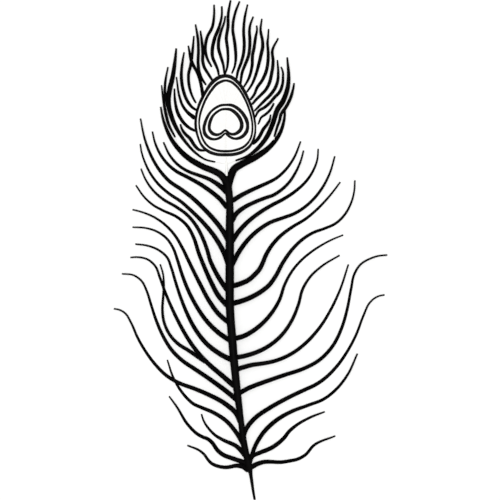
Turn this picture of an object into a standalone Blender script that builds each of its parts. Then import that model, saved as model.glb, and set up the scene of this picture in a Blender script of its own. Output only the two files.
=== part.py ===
"""A peacock feather that lies flat: one grown piece, made as one closed solid.

The feather lies in the XY plane with its crown towards +Y and rests on z = 0. Shaft, eye vane and
61 locks of barbs are one node, because they grew as one piece.

Routes are read on a sheet that the feather fills from quill tip to crown tip. The sheet is
SHEET units high, x runs right and y runs down from the crown, and FEATHER_LENGTH gives the real
size. Heights above the surface are in millimetres.
"""
import bmesh
import bpy
import numpy as np

# Driving dimensions, in metres
FEATHER_LENGTH = 0.350
MM = 0.001

# The sheet that the routes are read on
SHEET = 500.0
UNIT = FEATHER_LENGTH / SHEET
SHEET_MIDDLE_X = 250.4

# Cross sections: height of a lock or of the shaft as a share of its width
LOCK_FLATNESS = 0.40
SHAFT_FLATNESS = 0.62
SHAFT_SIDES = 8

# Lengths of the straight facets along a route, in sheet units
LOCK_FACET = 9.5
SHAFT_FACET = 13.0
MIN_FACETS = 7

# Share of a lock's length at which it reaches its middle height
MIDDLE_AT = 0.68

# The eye vane: a thin egg with a flat underside
EYE_THICKNESS = 1.3 * MM
EYE_RIM = 0.35 * MM
EYE_CORNERS = 44
EYE_SAMPLES = 400
EYE_MIDDLE = (225.6, 118.0)
EYE_ROOT_DEPTH = 5.0
EYE_EGG = [
    (225.5, 74.6), (238.0, 79.3), (246.8, 91.2), (252.5, 105.4), (255.7, 119.8), (255.9, 133.2),
    (251.6, 145.5), (240.3, 153.6), (225.5, 155.7), (210.5, 153.3), (201.5, 145.5), (196.1, 133.2),
    (194.8, 118.0), (198.2, 104.0), (204.3, 89.8), (212.9, 78.9),
]

# The shaft from quill tip to the notch of the eye: x, y, width and height of its middle (mm)
SHAFT = [
    (254.7, 499.9, 1.5, 0.40), (253.0, 490, 1.9, 0.75), (251.6, 481, 2.4, 1.2), (250.6, 475, 2.8, 1.5),
    (249.2, 466, 5.5, 2.0), (245.8, 452, 6.2, 2.7), (243.1, 438, 5.8, 3.3), (240.9, 420, 5.3, 3.9),
    (238.3, 400, 6.3, 4.4), (234.9, 370, 7.2, 4.9), (232.3, 340, 7.6, 5.2), (230.1, 310, 7.6, 5.3),
    (229.8, 265, 7.9, 5.1), (229.8, 222, 7.3, 4.3), (229.7, 202, 6.5, 3.8), (228.8, 190, 7.0, 3.4),
    (227.2, 180, 4.6, 3.0), (226.5, 168, 2.9, 2.2), (226.0, 154, 2.4, 1.5), (225.3, 133, 1.7, 1.35),
]

# Every lock: name, route from root to tip, widths at even steps from root to tip in sheet units,
# and heights of its middle line at root, MIDDLE_AT and tip in millimetres.
LEFT_LOCKS = [
    ("left_01", [(229, 194), (221, 186.8), (210.2, 179.7), (198.7, 174.9), (185.9, 170.2),
                 (177, 163.9), (169.5, 154.9), (163.5, 142.3)],
     (4.3, 3.7, 3.0, 2.4, 1.1), (3.6, 1.6, 3.6)),
    ("left_02", [(228, 209), (220.3, 199.4), (210.9, 191.5), (199.6, 183.8), (187.5, 177.1),
                 (175.9, 171), (165.8, 162), (158.3, 150.7), (152.4, 131.5)],
     (4.5, 3.9, 3.2, 2.4, 1.0), (3.8, 0.6, 2.4)),
    ("left_03", [(229, 242), (222.1, 229.9), (213.9, 219.4), (203.7, 208.5), (192.9, 198.3),
                 (181.8, 189.7), (169.5, 181.3), (159.8, 170.6), (153, 159.6), (144.8, 139.2),
                 (140.6, 118.7)], (4.8, 4.1, 3.4, 2.4, 0.9), (4.4, 0.9, 5.0)),
    ("left_04", [(229.5, 268), (224.3, 252.4), (215.4, 237.5), (204, 223.5), (190.7, 210.2),
                 (180.7, 201.4), (169.5, 193.9), (158.7, 184.5), (150.1, 173), (144.5, 161.4),
                 (140.2, 143.9)], (4.9, 4.1, 3.0, 2.2, 0.9), (4.8, 0.5, 2.0)),
    ("left_05", [(229.5, 293), (221.5, 281.9), (213.1, 267), (207.8, 252), (203.3, 238.7),
                 (196.4, 226.1), (186.7, 214.6), (175.8, 206.9), (163.6, 199.6), (153.5, 190.8),
                 (145.7, 179.7), (141.1, 168.8)], (4.9, 3.6, 3.1, 2.3, 0.9), (5.0, 1.4, 5.6)),
    ("left_06", [(229, 306.5), (218.7, 295.4), (211, 281.9), (204.5, 267.4), (198.5, 252.4),
                 (193.9, 238.2), (186.8, 225.4), (176.8, 216.9), (163.4, 210.7), (152.9, 204.9),
                 (144.2, 197), (135.9, 185.3)], (4.8, 4.0, 3.1, 2.1, 0.9), (5.0, 0.5, 3.0)),
    ("left_07", [(230.5, 323.5), (218.5, 313.2), (208.8, 300.3), (200.4, 284.4), (189.7, 262.7),
                 (182.5, 248.3), (175.1, 235.7), (165.8, 225.4), (154.2, 217.2), (140, 211.5),
                 (132.7, 209.7)], (4.7, 3.8, 3.0, 2.1, 0.9), (5.0, 0.9, 5.2)),
    ("left_08", [(232, 341), (218.7, 332.2), (205, 318.9), (196, 305.4), (187.8, 289.4),
                 (182.2, 275.1), (177.4, 260), (173.4, 248.8), (166.8, 238.7), (156.8, 231.5),
                 (145, 227.9), (132.5, 227.2)], (4.8, 3.8, 3.1, 2.1, 0.9), (5.0, 0.5, 2.4)),
    ("left_09", [(233.5, 360), (221.4, 354.7), (206.6, 343.6), (195.6, 329.7), (187, 313.4),
                 (180.3, 296.6), (175.4, 281.7), (171.4, 268.3), (167.1, 257.5), (158.3, 249.9),
                 (146.7, 245.5), (135.4, 244.1)], (4.9, 4.0, 2.9, 2.1, 1.0), (4.9, 0.8, 4.4)),
    ("left_10", [(235.3, 387), (222.9, 376.1), (209.8, 365), (198.8, 353.6), (190.8, 343),
                 (178, 321), (170.5, 305.2), (164.3, 290.1), (160.1, 277.5), (155.5, 266.6),
                 (147.5, 259.4), (136.7, 257.1), (130.4, 257.5)],
     (5.0, 4.0, 3.2, 2.2, 1.0), (4.6, 0.5, 2.6)),
    ("left_11", [(205, 361), (197.5, 356.3), (187.1, 349.5), (179.8, 345.1), (170.4, 335.6),
                 (163.7, 320.8), (162.4, 308.3), (163.2, 296.7), (163.8, 282), (163.3, 275),
                 (160.3, 264.2)], (3.9, 3.2, 2.4, 1.8, 0.9), (3.4, 2.6, 5.4)),
    ("left_12", [(238, 404), (222.9, 388.6), (209.8, 379.1), (195.7, 369.6), (182.5, 360.7),
                 (172.1, 350.6), (163.3, 336.8), (155.1, 317.6), (150.6, 303.4), (146.6, 290.8),
                 (141.5, 280.9), (133.3, 275.1), (122.1, 273.8)],
     (4.8, 3.9, 3.2, 2.1, 0.9), (4.3, 0.7, 4.8)),
    ("left_13", [(241, 424), (237, 414.6), (225.1, 403.6), (210.2, 395.4), (194.5, 388.7),
                 (179.6, 383.3), (166.8, 375.9), (155.5, 364.9), (146.1, 352.4), (137.5, 337.6),
                 (130.8, 322.5), (125.1, 313.7), (113.8, 309.2)],
     (4.9, 4.0, 3.1, 2.2, 1.0), (3.9, 0.6, 3.2)),
    ("left_14", [(245, 448), (236.2, 432.5), (226.3, 421), (213.3, 412.6), (200.2, 407.1),
                 (188.2, 399.6), (179.8, 389.4), (173.4, 378), (167.2, 359.9)],
     (4.7, 3.8, 3.1, 2.2, 1.0), (3.0, 0.5, 0.6)),
    ("left_15", [(247, 458), (237.1, 446.8), (222.6, 439.8), (210.2, 430.5), (203.2, 419.8),
                 (201.5, 414.1)], (4.5, 3.9, 2.8, 1.9, 1.0), (2.5, 1.0, 2.6)),
    ("left_16", [(247.5, 463.5), (230.1, 457.6), (218.4, 451.3), (211, 441.5), (207.4, 438.5),
                 (199.1, 434.9), (188, 425), (176.8, 406.9), (169.2, 396.2)],
     (4.5, 3.9, 3.1, 2.3, 0.9), (2.2, 0.6, 3.8)),
    ("left_17", [(248.3, 469.5), (243.2, 466.6), (238.3, 465.3), (225.2, 467.2), (217, 466.1),
                 (211.4, 463.5), (207.7, 459.6), (200.2, 451.2), (187.3, 445.4)],
     (4.8, 3.6, 3.0, 2.2, 1.1), (1.9, 0.5, 2.2)),
]

RIGHT_LOCKS = [
    ("right_01", [(231, 201.7), (241.2, 195.3), (252.2, 189.7), (264.3, 184.3), (276.5, 178.0),
                  (286.6, 168.6), (294, 157.8), (300.7, 141.4)],
     (4.6, 3.6, 2.8, 2.1, 1.0), (3.7, 0.5, 2.6)),
    ("right_02", [(231, 223), (236, 214), (244.4, 207.3), (254.3, 202.3), (266.4, 197.5),
                  (278.4, 192), (288.7, 182.8), (295.9, 171.8), (300.9, 160.4), (303.5, 150.7)],
     (5.0, 3.6, 3.0, 2.2, 1.0), (4.2, 1.6, 5.0)),
    ("right_03", [(230.5, 244), (238.8, 231.4), (248, 221.7), (259.6, 212.6), (271.7, 205.2),
                  (283.9, 198.8), (296, 190.7), (306, 181.4), (313, 171), (317.3, 159.6),
                  (318.2, 148.8)], (4.8, 3.8, 3.2, 2.3, 0.9), (4.5, 0.5, 2.0)),
    ("right_04", [(231, 267), (239.5, 251), (249.2, 238.4), (259.2, 229.4), (270.1, 222.5),
                  (282.4, 218), (294.5, 213.5), (306.2, 205.9), (316.1, 196.2), (323.9, 185.2),
                  (329.8, 173.1), (334.7, 156.4)], (4.7, 3.8, 3.0, 2.3, 1.0), (4.9, 1.0, 5.6)),
    ("right_05", [(231, 286.5), (241.1, 283.4), (254.2, 275.1), (262.7, 262.9), (269.8, 248.3),
                  (280, 236.3), (292.6, 226.8), (304.9, 219.4), (315.6, 210.7), (325.1, 201.1),
                  (333.6, 191), (340.2, 182.1)], (4.9, 4.1, 3.1, 2.2, 1.0), (5.0, 0.5, 2.8)),
    ("right_06", [(231, 304), (246.2, 299.3), (262.3, 290.7), (274.7, 277.6), (283.2, 262.1),
                  (293.7, 247.7), (303.1, 238.9), (313.3, 232.6), (324.8, 228.4), (335.5, 223.5),
                  (344.3, 215.2), (350.5, 204.4), (354, 192.2), (354.8, 180.4)],
     (5.0, 4.0, 2.9, 2.1, 0.9), (5.1, 0.8, 4.6)),
    ("right_07", [(232, 339), (243, 336.2), (257.8, 327.3), (270.2, 314.8), (279.6, 299.6),
                  (284.5, 285.1), (291.9, 271.4), (300.6, 261), (310, 252.9), (321, 245.5),
                  (332.2, 239.5), (343.2, 235)], (4.8, 3.7, 2.5, 1.9, 0.9), (5.1, 0.5, 2.4)),
    ("right_08", [(232.5, 358), (246.3, 355.4), (264.4, 348.5), (280.5, 336.3), (291.4, 321.2),
                  (298.3, 305), (302.6, 289.4), (310.1, 277), (323.4, 265), (339.5, 255.3)],
     (4.5, 3.7, 2.9, 2.1, 1.0), (5.0, 1.2, 5.0)),
    ("right_09", [(234.5, 370), (245.6, 366.5), (260.4, 363.5), (277.1, 360), (293.7, 352.4),
                  (307.3, 341.6), (320.5, 326.5), (331.4, 308.6), (339.8, 290.5), (348.4, 264.4)],
     (4.5, 3.8, 3.1, 2.2, 1.0), (4.8, 0.5, 3.0)),
    ("right_10", [(237.5, 394.5), (249.2, 388), (266, 381.3), (284.6, 374.9), (303.3, 368.7),
                  (319, 360.3), (332, 347), (342, 327.3), (347.7, 307.2), (351.1, 289.1),
                  (354.5, 273.8), (360.4, 264.6), (370.6, 258.4), (387, 255)],
     (4.8, 3.7, 3.1, 2.1, 1.0), (4.4, 0.8, 5.2)),
    ("right_11", [(242, 440), (244.6, 430), (254.3, 418.7), (269.6, 407.9), (287.3, 398.1),
                  (306.1, 389.2), (322.7, 380.1), (337.1, 366.1), (348, 350.5), (356.7, 333.7),
                  (363.5, 315.7), (370.2, 302.2), (375.3, 297.7), (384.5, 295.3)],
     (5.0, 4.0, 3.1, 2.1, 1.0), (3.3, 0.5, 2.8)),
    ("right_12", [(250.1, 458.1), (256.2, 444.2), (264.4, 431.4), (276.4, 420.3), (291.3, 411.7),
                  (308, 405.4), (323.8, 399.2), (337.6, 388), (347.6, 374.8), (357.3, 353.5)],
     (4.6, 3.8, 3.1, 2.5, 1.1), (2.4, 0.7, 4.6)),
    ("right_13", [(249.5, 458), (257.3, 453.6), (272.9, 446.6), (284, 437.5), (295.2, 426.3),
                  (310.5, 417.4), (324.8, 411.7)], (4.8, 4.1, 3.5, 2.3, 0.9), (2.4, 0.5, 2.6)),
    ("right_14", [(249, 468.5), (258.6, 463.5), (271.5, 461.9), (289.4, 461.1), (305.2, 454.7),
                  (313.4, 445.9), (335.3, 435.8)], (4.9, 3.7, 3.2, 2.4, 1.0), (1.9, 0.6, 3.4)),
]

# The locks that fork off the top of the shaft and those of the crown. All but FREE_OF_EYE grow
# out of the eye vane, so their first stretch reaches into it.
CROWN_LOCKS = [
    ("arm_left", [(228, 191), (225.9, 181.3), (222.3, 176.0), (210.1, 169.5), (200.1, 165.1),
                  (190, 159.2), (180, 150.5), (171, 138.5), (166, 127.8), (162.9, 118.5),
                  (160.8, 107)], (7.6, 6.2, 5.2, 3.4, 1.2), (3.4, 1.2, 3.6)),
    ("arm_right", [(228.4, 191), (229.5, 181.1), (231.4, 174.7), (234.5, 169.0), (240.1, 165.1),
                   (255.9, 156.9), (268.7, 147.7), (279, 135), (284.2, 119.5), (285, 107.5)],
     (6.6, 6.6, 5.3, 3.9, 1.4), (3.4, 1.2, 2.0)),
    ("crown_02", [(226.4, 164), (215.4, 162.0), (205.1, 159.4), (195.7, 153), (185.8, 142.3),
                  (178.4, 131.7), (172.8, 120), (168.6, 100), (172.1, 78), (174.9, 60),
                  (176.3, 48.5)], (1.2, 1.2, 2.0, 2.5, 3.4, 4.4, 4.3, 2.9, 1.2), (1.9, 1.2, 3.4)),
    ("crown_03", [(179, 146), (175.2, 137.4), (168.7, 124.6), (165.6, 111), (163.4, 98),
                  (161.7, 85.4)], (1.2, 1.6, 2.9, 2.8, 2.3, 1.1), (1.3, 3.2, 4.4)),
    ("crown_04", [(170.8, 117), (166.8, 104), (165, 93), (165, 85), (166, 77), (168.1, 67.3)],
     (1.9, 2.1, 2.2, 2.0, 1.1), (1.3, 1.5, 4.6)),
    ("crown_05", [(196, 130.6), (185.6, 124.7), (178.1, 113.6), (175, 100.8), (174.4, 88.6)],
     (1.6, 2.7, 3.0, 2.2, 1.1), (0.8, 1.8, 2.8)),
    ("crown_06", [(195.4, 118.7), (186.1, 110.6), (179.9, 98.2), (177.8, 84.7), (176.3, 77.1)],
     (2.8, 2.8, 2.2, 1.9, 1.2), (0.8, 1.2, 3.4)),
    ("crown_07", [(197, 110.4), (188.1, 102.2), (182.9, 89.9), (181.3, 76.4), (182.8, 60),
                  (184.2, 52.5)], (1.6, 2.7, 3.1, 3.0, 2.2, 1.1), (0.8, 2.4, 4.4)),
    ("crown_08", [(200, 107), (196.7, 103.7), (191.3, 93.7), (188.5, 79.6), (190.3, 67), (192.7, 50),
                  (193.9, 36)], (1.2, 1.7, 2.4, 2.5, 2.5, 2.1, 1.1), (0.8, 3.4, 3.0)),
    ("crown_09", [(203.5, 95.5), (201.2, 85), (197.8, 73.5), (192, 62.5), (188.2, 45.5)],
     (2.2, 2.6, 2.8, 2.4, 1.1), (0.8, 1.2, 1.0)),
    ("crown_10", [(208.3, 88), (205.8, 84.5), (201.5, 77), (198.2, 65), (198.4, 50), (198.1, 41),
                  (195.6, 24.7)], (1.2, 2.1, 2.6, 2.6, 2.7, 2.1, 1.1), (0.8, 2.2, 5.4)),
    ("crown_11", [(212.5, 80.5), (208.7, 74.5), (203.8, 66), (202.8, 54), (202.1, 42), (200.4, 30.7)],
     (1.9, 2.5, 2.7, 2.7, 2.3, 1.1), (0.8, 1.6, 2.6)),
    ("crown_12", [(215.5, 77.5), (211.8, 66), (207.2, 58.4), (205, 48), (207.4, 37), (212.1, 27.5),
                  (214.1, 15), (214.1, 5)], (1.2, 1.5, 2.4, 3.0, 2.9, 2.2, 1.2), (0.8, 2.2, 4.6)),
    ("crown_13", [(218.9, 74.5), (214.8, 63.4), (212.2, 51), (214.8, 38), (219.4, 26.6), (221.8, 15),
                  (221.8, 6.3)], (1.5, 2.5, 3.0, 3.2, 3.0, 2.1, 1.3), (0.8, 1.2, 2.4)),
    ("crown_14", [(224.3, 74), (223.4, 65.5), (220.2, 54.6), (218.4, 43), (220.7, 31.5), (224.4, 21),
                  (225.2, 16.3)], (1.2, 2.3, 2.9, 2.9, 2.3, 1.2), (0.8, 2.6, 5.0)),
    ("crown_15", [(225.0, 74), (227.9, 61), (227.7, 50), (226.3, 38), (228, 26), (228.1, 15),
                  (230.6, 0.2)], (1.2, 2.1, 2.5, 2.8, 2.7, 2.4, 1.4), (0.8, 1.0, 2.0)),
    ("crown_16", [(230.6, 77), (232, 73), (235.6, 61), (235.4, 49), (233.8, 37), (232.9, 25),
                  (235.2, 13), (239.6, 1.6)], (1.2, 1.6, 2.5, 2.9, 2.9, 2.5, 2.1, 1.3), (0.8, 2.4, 4.6)),
    ("crown_17", [(236.3, 79), (240.9, 62.6), (244.2, 45), (243.6, 31), (244.5, 19), (247.6, 4.5)],
     (1.6, 2.4, 2.7, 2.6, 2.5, 2.1, 1.1), (0.8, 1.2, 2.8)),
    ("crown_18", [(240.4, 84), (241.7, 73), (245.6, 62.1), (249.3, 51.1), (249.8, 38), (250, 26),
                  (253.3, 17)], (1.7, 2.4, 3.0, 3.0, 2.7, 2.2, 1.2), (0.8, 2.4, 5.4)),
    ("crown_19", [(243.5, 87.5), (248.9, 78), (252, 66), (252.7, 54), (254.9, 42), (257, 30),
                  (256.6, 25.5)], (1.3, 2.3, 2.7, 3.0, 2.7, 1.1), (0.8, 1.0, 1.8)),
    ("crown_20", [(246.8, 92), (255.5, 75.6), (259.1, 63), (262.7, 46.5), (262.5, 41), (260.5, 30),
                  (261.9, 19)], (1.4, 2.3, 2.8, 3.1, 2.3, 1.1), (0.8, 2.0, 4.2)),
    ("crown_21", [(250, 100), (257, 87.6), (265.9, 72.1), (268.4, 57), (267.9, 48), (268, 38),
                  (268.6, 29)], (1.3, 2.5, 3.0, 2.7, 2.2, 1.0), (0.8, 1.2, 2.6)),
    ("crown_22", [(251.8, 104.5), (261.1, 94.6), (268.5, 85), (271.7, 73), (273.1, 61), (272.3, 51),
                  (278.2, 38.5)], (1.3, 2.5, 3.0, 2.9, 2.3, 1.2), (0.8, 2.2, 5.0)),
    ("crown_23", [(254.3, 111), (265.2, 99.8), (271, 94), (275, 87.5), (278.2, 72), (277.1, 60)],
     (1.3, 2.8, 3.3, 2.9, 2.1, 1.0), (0.8, 1.0, 2.4)),
    ("crown_24", [(255.1, 117.4), (258.5, 111), (270.6, 102), (279.3, 92.4), (282.7, 83), (283, 77),
                  (281, 67)], (1.3, 2.8, 3.1, 3.0, 2.1, 1.1), (0.8, 1.9, 4.0)),
    ("crown_25", [(255.4, 127), (258.3, 123.8), (261.1, 117.5), (266.3, 113.7), (273.9, 103.2)],
     (1.2, 1.4, 2.1, 2.0, 1.2), (0.8, 0.9, 1.6)),
    ("crown_26", [(253.3, 142.4), (260.4, 134.8), (262.7, 129.6), (266.9, 124.6), (269.9, 119.4),
                  (270.8, 114.6)], (1.8, 3.1, 3.1, 2.8, 1.2), (0.8, 1.2, 2.8)),
    ("crown_27", [(226.6, 164), (236.1, 160.4), (248.2, 155.8), (259, 147), (267.1, 136.3),
                  (273, 123.5), (278, 108.5), (286.1, 94), (288.6, 79), (287.2, 57.5)],
     (1.2, 1.9, 3.2, 3.8, 3.8, 4.5, 4.3, 3.2, 1.2), (1.9, 1.1, 3.8)),
    ("crown_28", [(273.6, 142.6), (274.5, 136.3), (276.7, 126.4), (281.2, 113.8), (288.7, 102.1),
                  (293.1, 89.2), (294.1, 83.3)], (1.2, 1.9, 2.6, 3.0, 2.7, 1.3), (1.2, 2.2, 4.2)),
    ("crown_30", [(206.3, 150.6), (198.6, 149.5), (194.7, 145.6), (189.7, 138.1), (182.3, 129.1),
                  (180.4, 124.2)], (1.4, 2.7, 3.1, 2.8, 1.2), (0.8, 1.2, 2.6)),
]
FREE_OF_EYE = ("arm_left", "arm_right", "crown_02", "crown_03", "crown_04", "crown_27", "crown_28")

# Finish of the solid: near black keratin
FEATHER_COLOUR = (0.012, 0.011, 0.013, 1.0)
FEATHER_ROUGHNESS = 0.55

WELD = 0.00001
SMOOTH_ANGLE = 0.6


def clear_scene():
    """Remove whatever the scene holds."""
    for old in list(bpy.data.objects):
        bpy.data.objects.remove(old, do_unlink=True)


def new_collection(name):
    """A collection linked under the scene."""
    collection = bpy.data.collections.new(name)
    bpy.context.scene.collection.children.link(collection)
    return collection


def feather_material():
    """The finish of the whole feather."""
    material = bpy.data.materials.new("feather_black")
    material.use_nodes = True
    shader = material.node_tree.nodes["Principled BSDF"]
    shader.inputs["Base Color"].default_value = FEATHER_COLOUR
    shader.inputs["Roughness"].default_value = FEATHER_ROUGHNESS
    shader.inputs["Metallic"].default_value = 0.0
    return material


def smooth_path(points, count):
    """Count + 1 evenly spaced points of a smooth curve through the given ones."""
    knots = np.array(points, dtype=float)
    steps = np.linalg.norm(np.diff(knots[:, :2], axis=0), axis=1)
    along = np.concatenate([[0.0], np.cumsum(steps)])
    slopes = np.gradient(knots, along, axis=0)
    wanted = np.linspace(0.0, along[-1], count + 1)
    first = np.clip(np.searchsorted(along, wanted) - 1, 0, len(along) - 2)
    span = (along[first + 1] - along[first])[:, None]
    t = (wanted - along[first])[:, None] / span
    start = (2 * t**3 - 3 * t**2 + 1) * knots[first] + (t**3 - 2 * t**2 + t) * span * slopes[first]
    end = (3 * t**2 - 2 * t**3) * knots[first + 1] + (t**3 - t**2) * span * slopes[first + 1]
    return start + end


def path_length(points):
    """Length of a route in sheet units."""
    knots = np.array(points, dtype=float)[:, :2]
    return float(np.linalg.norm(np.diff(knots, axis=0), axis=1).sum())


def width_along(share, widths):
    """Width at a share of a lock's length, from widths given at even steps along it."""
    return np.interp(share, np.linspace(0, 1, len(widths)), widths)


def height_along(share, heights):
    """Height of a lock's middle line, in metres: eased down to MIDDLE_AT, then curling to the tip."""
    root, middle, tip = heights
    fall = np.clip(share / MIDDLE_AT, 0, 1)
    curl = np.clip((share - MIDDLE_AT) / (1 - MIDDLE_AT), 0, 1)
    eased = fall * fall * (3 - 2 * fall)
    return (root + (middle - root) * eased + (tip - middle) * curl * curl) * MM


def to_world(x, y):
    """Sheet units to metres in the feather's own frame."""
    return (x - SHEET_MIDDLE_X) * UNIT, (SHEET / 2 - y) * UNIT


def section_curve(name, corners, helpers):
    """A closed outline, one wide, that a route's curve is swept with."""
    data = bpy.data.curves.new(name, "CURVE")
    data.dimensions = "2D"
    spline = data.splines.new("POLY")
    spline.points.add(len(corners) - 1)
    for point, (x, y) in zip(spline.points, corners):
        point.co = (x, y, 0, 1)
    spline.use_cyclic_u = True
    guide = bpy.data.objects.new(name, data)
    guide.hide_render = True
    guide.display_type = "WIRE"
    helpers.objects.link(guide)
    return guide


def lens_section(helpers):
    """Section of a lock: a flat rhombus, so that a ridge runs along its middle."""
    half = LOCK_FLATNESS / 2
    return section_curve("lock_section", [(0.5, 0), (0, half), (-0.5, 0), (0, -half)], helpers)


def oval_section(helpers):
    """Section of the shaft: a flattened octagon."""
    turn = 2 * np.pi / SHAFT_SIDES
    corners = [(0.5 * np.cos((k + 0.5) * turn), 0.5 * SHAFT_FLATNESS * np.sin((k + 0.5) * turn))
               for k in range(SHAFT_SIDES)]
    return section_curve("shaft_section", corners, helpers)


def swept_rod(name, places, widths, section, helpers):
    """A closed tapering rod along places, as a mesh object made from a bevelled curve."""
    data = bpy.data.curves.new(name, "CURVE")
    data.dimensions = "3D"
    data.twist_mode = "Z_UP"
    data.bevel_mode = "OBJECT"
    data.bevel_object = section
    data.use_fill_caps = True
    spline = data.splines.new("POLY")
    spline.points.add(len(places) - 1)
    for point, place, width in zip(spline.points, places, widths):
        point.co = (*place, 1)
        point.radius = width
    curve = bpy.data.objects.new(name, data)
    helpers.objects.link(curve)
    return curve_to_mesh(curve, helpers)


def curve_to_mesh(curve, helpers):
    """Swap a curve object for a mesh object with welded caps and outward faces."""
    bpy.context.view_layer.update()
    seen = curve.evaluated_get(bpy.context.evaluated_depsgraph_get())
    mesh = bpy.data.meshes.new_from_object(seen)
    solid = bpy.data.objects.new(curve.name + "_solid", mesh)
    solid.matrix_world = curve.matrix_world
    bpy.data.objects.remove(curve, do_unlink=True)
    shape = bmesh.new()
    shape.from_mesh(mesh)
    bmesh.ops.remove_doubles(shape, verts=shape.verts, dist=WELD)
    bmesh.ops.recalc_face_normals(shape, faces=shape.faces)
    shape.to_mesh(mesh)
    shape.free()
    helpers.objects.link(solid)
    solid.hide_render = True
    solid.display_type = "WIRE"
    return solid


def lock_solid(name, route, widths, heights, section, helpers):
    """One lock of barbs, with its root carried into the eye vane where it grows from it."""
    if name.startswith("crown") and name not in FREE_OF_EYE:
        root = np.array(route[0])
        inward = np.array(EYE_MIDDLE) - root
        deeper = root + inward / np.linalg.norm(inward) * EYE_ROOT_DEPTH
        route = [tuple(deeper), *route]
    facets = max(MIN_FACETS, round(path_length(route) / LOCK_FACET))
    flat = smooth_path(route, facets)
    share = np.linspace(0, 1, facets + 1)
    rise = height_along(share, heights)
    places = [(*to_world(x, y), z) for (x, y), z in zip(flat, rise)]
    return swept_rod(name, places, width_along(share, widths) * UNIT, section, helpers)


def shaft_solid(section, helpers):
    """Quill, shaft and the slim end that runs on into the eye vane."""
    facets = round(path_length(SHAFT) / SHAFT_FACET)
    route = smooth_path(SHAFT, facets)
    places = [(*to_world(x, y), z * MM) for x, y, width, z in route]
    return swept_rod("shaft", places, route[:, 2] * UNIT, section, helpers)


def eye_solid(helpers):
    """The closed vane: an egg-shaped plate with rounded rims and a flat underside."""
    data = bpy.data.curves.new("eye_outline", "CURVE")
    data.dimensions = "2D"
    data.fill_mode = "BOTH"
    data.extrude = EYE_THICKNESS / 2 - EYE_RIM
    data.bevel_depth = EYE_RIM
    data.bevel_resolution = 0
    data.offset = -EYE_RIM
    spline = data.splines.new("POLY")
    spline.points.add(EYE_CORNERS - 1)
    outline = smooth_path([*EYE_EGG[-2:], *EYE_EGG, *EYE_EGG[:3]], EYE_SAMPLES)
    loop = closed_part(outline, EYE_EGG[0], EYE_CORNERS)
    for point, (x, y) in zip(spline.points, loop):
        point.co = (*to_world(x, y), 0, 1)
    spline.use_cyclic_u = True
    plate = bpy.data.objects.new("eye", data)
    plate.location.z = EYE_THICKNESS / 2
    helpers.objects.link(plate)
    return curve_to_mesh(plate, helpers)


def closed_part(outline, start, corners):
    """Evenly spaced corners of one full turn of an outline that overruns its own start."""
    distance = np.linalg.norm(outline - np.array(start), axis=1)
    half = len(outline) // 2
    first = int(np.argmin(distance[:half]))
    last = half + int(np.argmin(distance[half:]))
    picks = np.linspace(first, last, corners + 1)[:-1]
    return outline[np.round(picks).astype(int)]


def fuse(feather, solid):
    """Join one solid to the feather with an exact union, and drop it."""
    union = feather.modifiers.new("join", "BOOLEAN")
    union.operation = "UNION"
    union.solver = "EXACT"
    union.object = solid
    bpy.context.view_layer.update()
    seen = feather.evaluated_get(bpy.context.evaluated_depsgraph_get())
    mesh = bpy.data.meshes.new_from_object(seen)
    feather.modifiers.remove(union)
    feather.data = mesh
    bpy.data.objects.remove(solid, do_unlink=True)


def build_feather():
    """Everything, in order: shaft, eye vane, then each lock fused to what it grows from."""
    clear_scene()
    parts = new_collection("peacock_feather")
    helpers = new_collection("sections")
    oval = oval_section(helpers)
    lens = lens_section(helpers)
    base = shaft_solid(oval, helpers)
    feather = bpy.data.objects.new("feather", base.data.copy())
    parts.objects.link(feather)
    bpy.data.objects.remove(base, do_unlink=True)
    fuse(feather, eye_solid(helpers))
    for name, route, widths, heights in CROWN_LOCKS + LEFT_LOCKS + RIGHT_LOCKS:
        fuse(feather, lock_solid(name, route, widths, heights, lens, helpers))
    shape = bmesh.new()
    shape.from_mesh(feather.data)
    bmesh.ops.remove_doubles(shape, verts=shape.verts, dist=WELD)
    bmesh.ops.triangulate(shape, faces=shape.faces)
    shape.to_mesh(feather.data)
    shape.free()
    feather.data.materials.clear()
    feather.data.materials.append(feather_material())
    feather.data.shade_smooth()
    feather.data.set_sharp_from_angle(angle=SMOOTH_ANGLE)
    return feather


build_feather()
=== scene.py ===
"""Looks of a peacock feather that lies flat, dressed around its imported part.

The feather lies in the XY plane with its crown towards +Y and rests on z = 0. Its loose barbs are
ribs with two dense rows of barbules, its eye is a closed vane of ridged barbs with dark rings, and
its shaft is smooth keratin.

Routes and the widths along them are read on a sheet that the feather fills from quill tip to
crown tip. The sheet is SHEET units high, x runs right and y runs down from the crown. The heights
of routes above the surface are in millimetres, and all other sizes are in metres.
"""

import bmesh
import bpy
import numpy as np
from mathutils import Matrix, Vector


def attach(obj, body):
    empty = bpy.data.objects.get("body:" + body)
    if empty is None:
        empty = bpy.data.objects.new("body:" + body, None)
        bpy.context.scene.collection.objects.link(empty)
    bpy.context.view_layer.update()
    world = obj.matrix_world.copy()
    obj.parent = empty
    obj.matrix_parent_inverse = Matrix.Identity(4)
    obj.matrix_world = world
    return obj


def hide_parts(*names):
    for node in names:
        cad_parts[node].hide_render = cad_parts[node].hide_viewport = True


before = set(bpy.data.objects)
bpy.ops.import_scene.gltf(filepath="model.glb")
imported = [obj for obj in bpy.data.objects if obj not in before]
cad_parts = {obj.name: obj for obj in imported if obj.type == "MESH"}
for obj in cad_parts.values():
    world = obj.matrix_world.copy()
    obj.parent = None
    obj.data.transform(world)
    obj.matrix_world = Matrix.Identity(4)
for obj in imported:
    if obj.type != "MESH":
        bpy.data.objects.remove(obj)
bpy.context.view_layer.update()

MM = 0.001
FEATHER_LENGTH = 0.350
SHEET = 500.0
UNIT = FEATHER_LENGTH / SHEET
SHEET_MIDDLE_X = 250.4

# Share of a lock's length where it has come down from the shaft, before its tip curls up
MIDDLE_AT = 0.68

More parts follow.
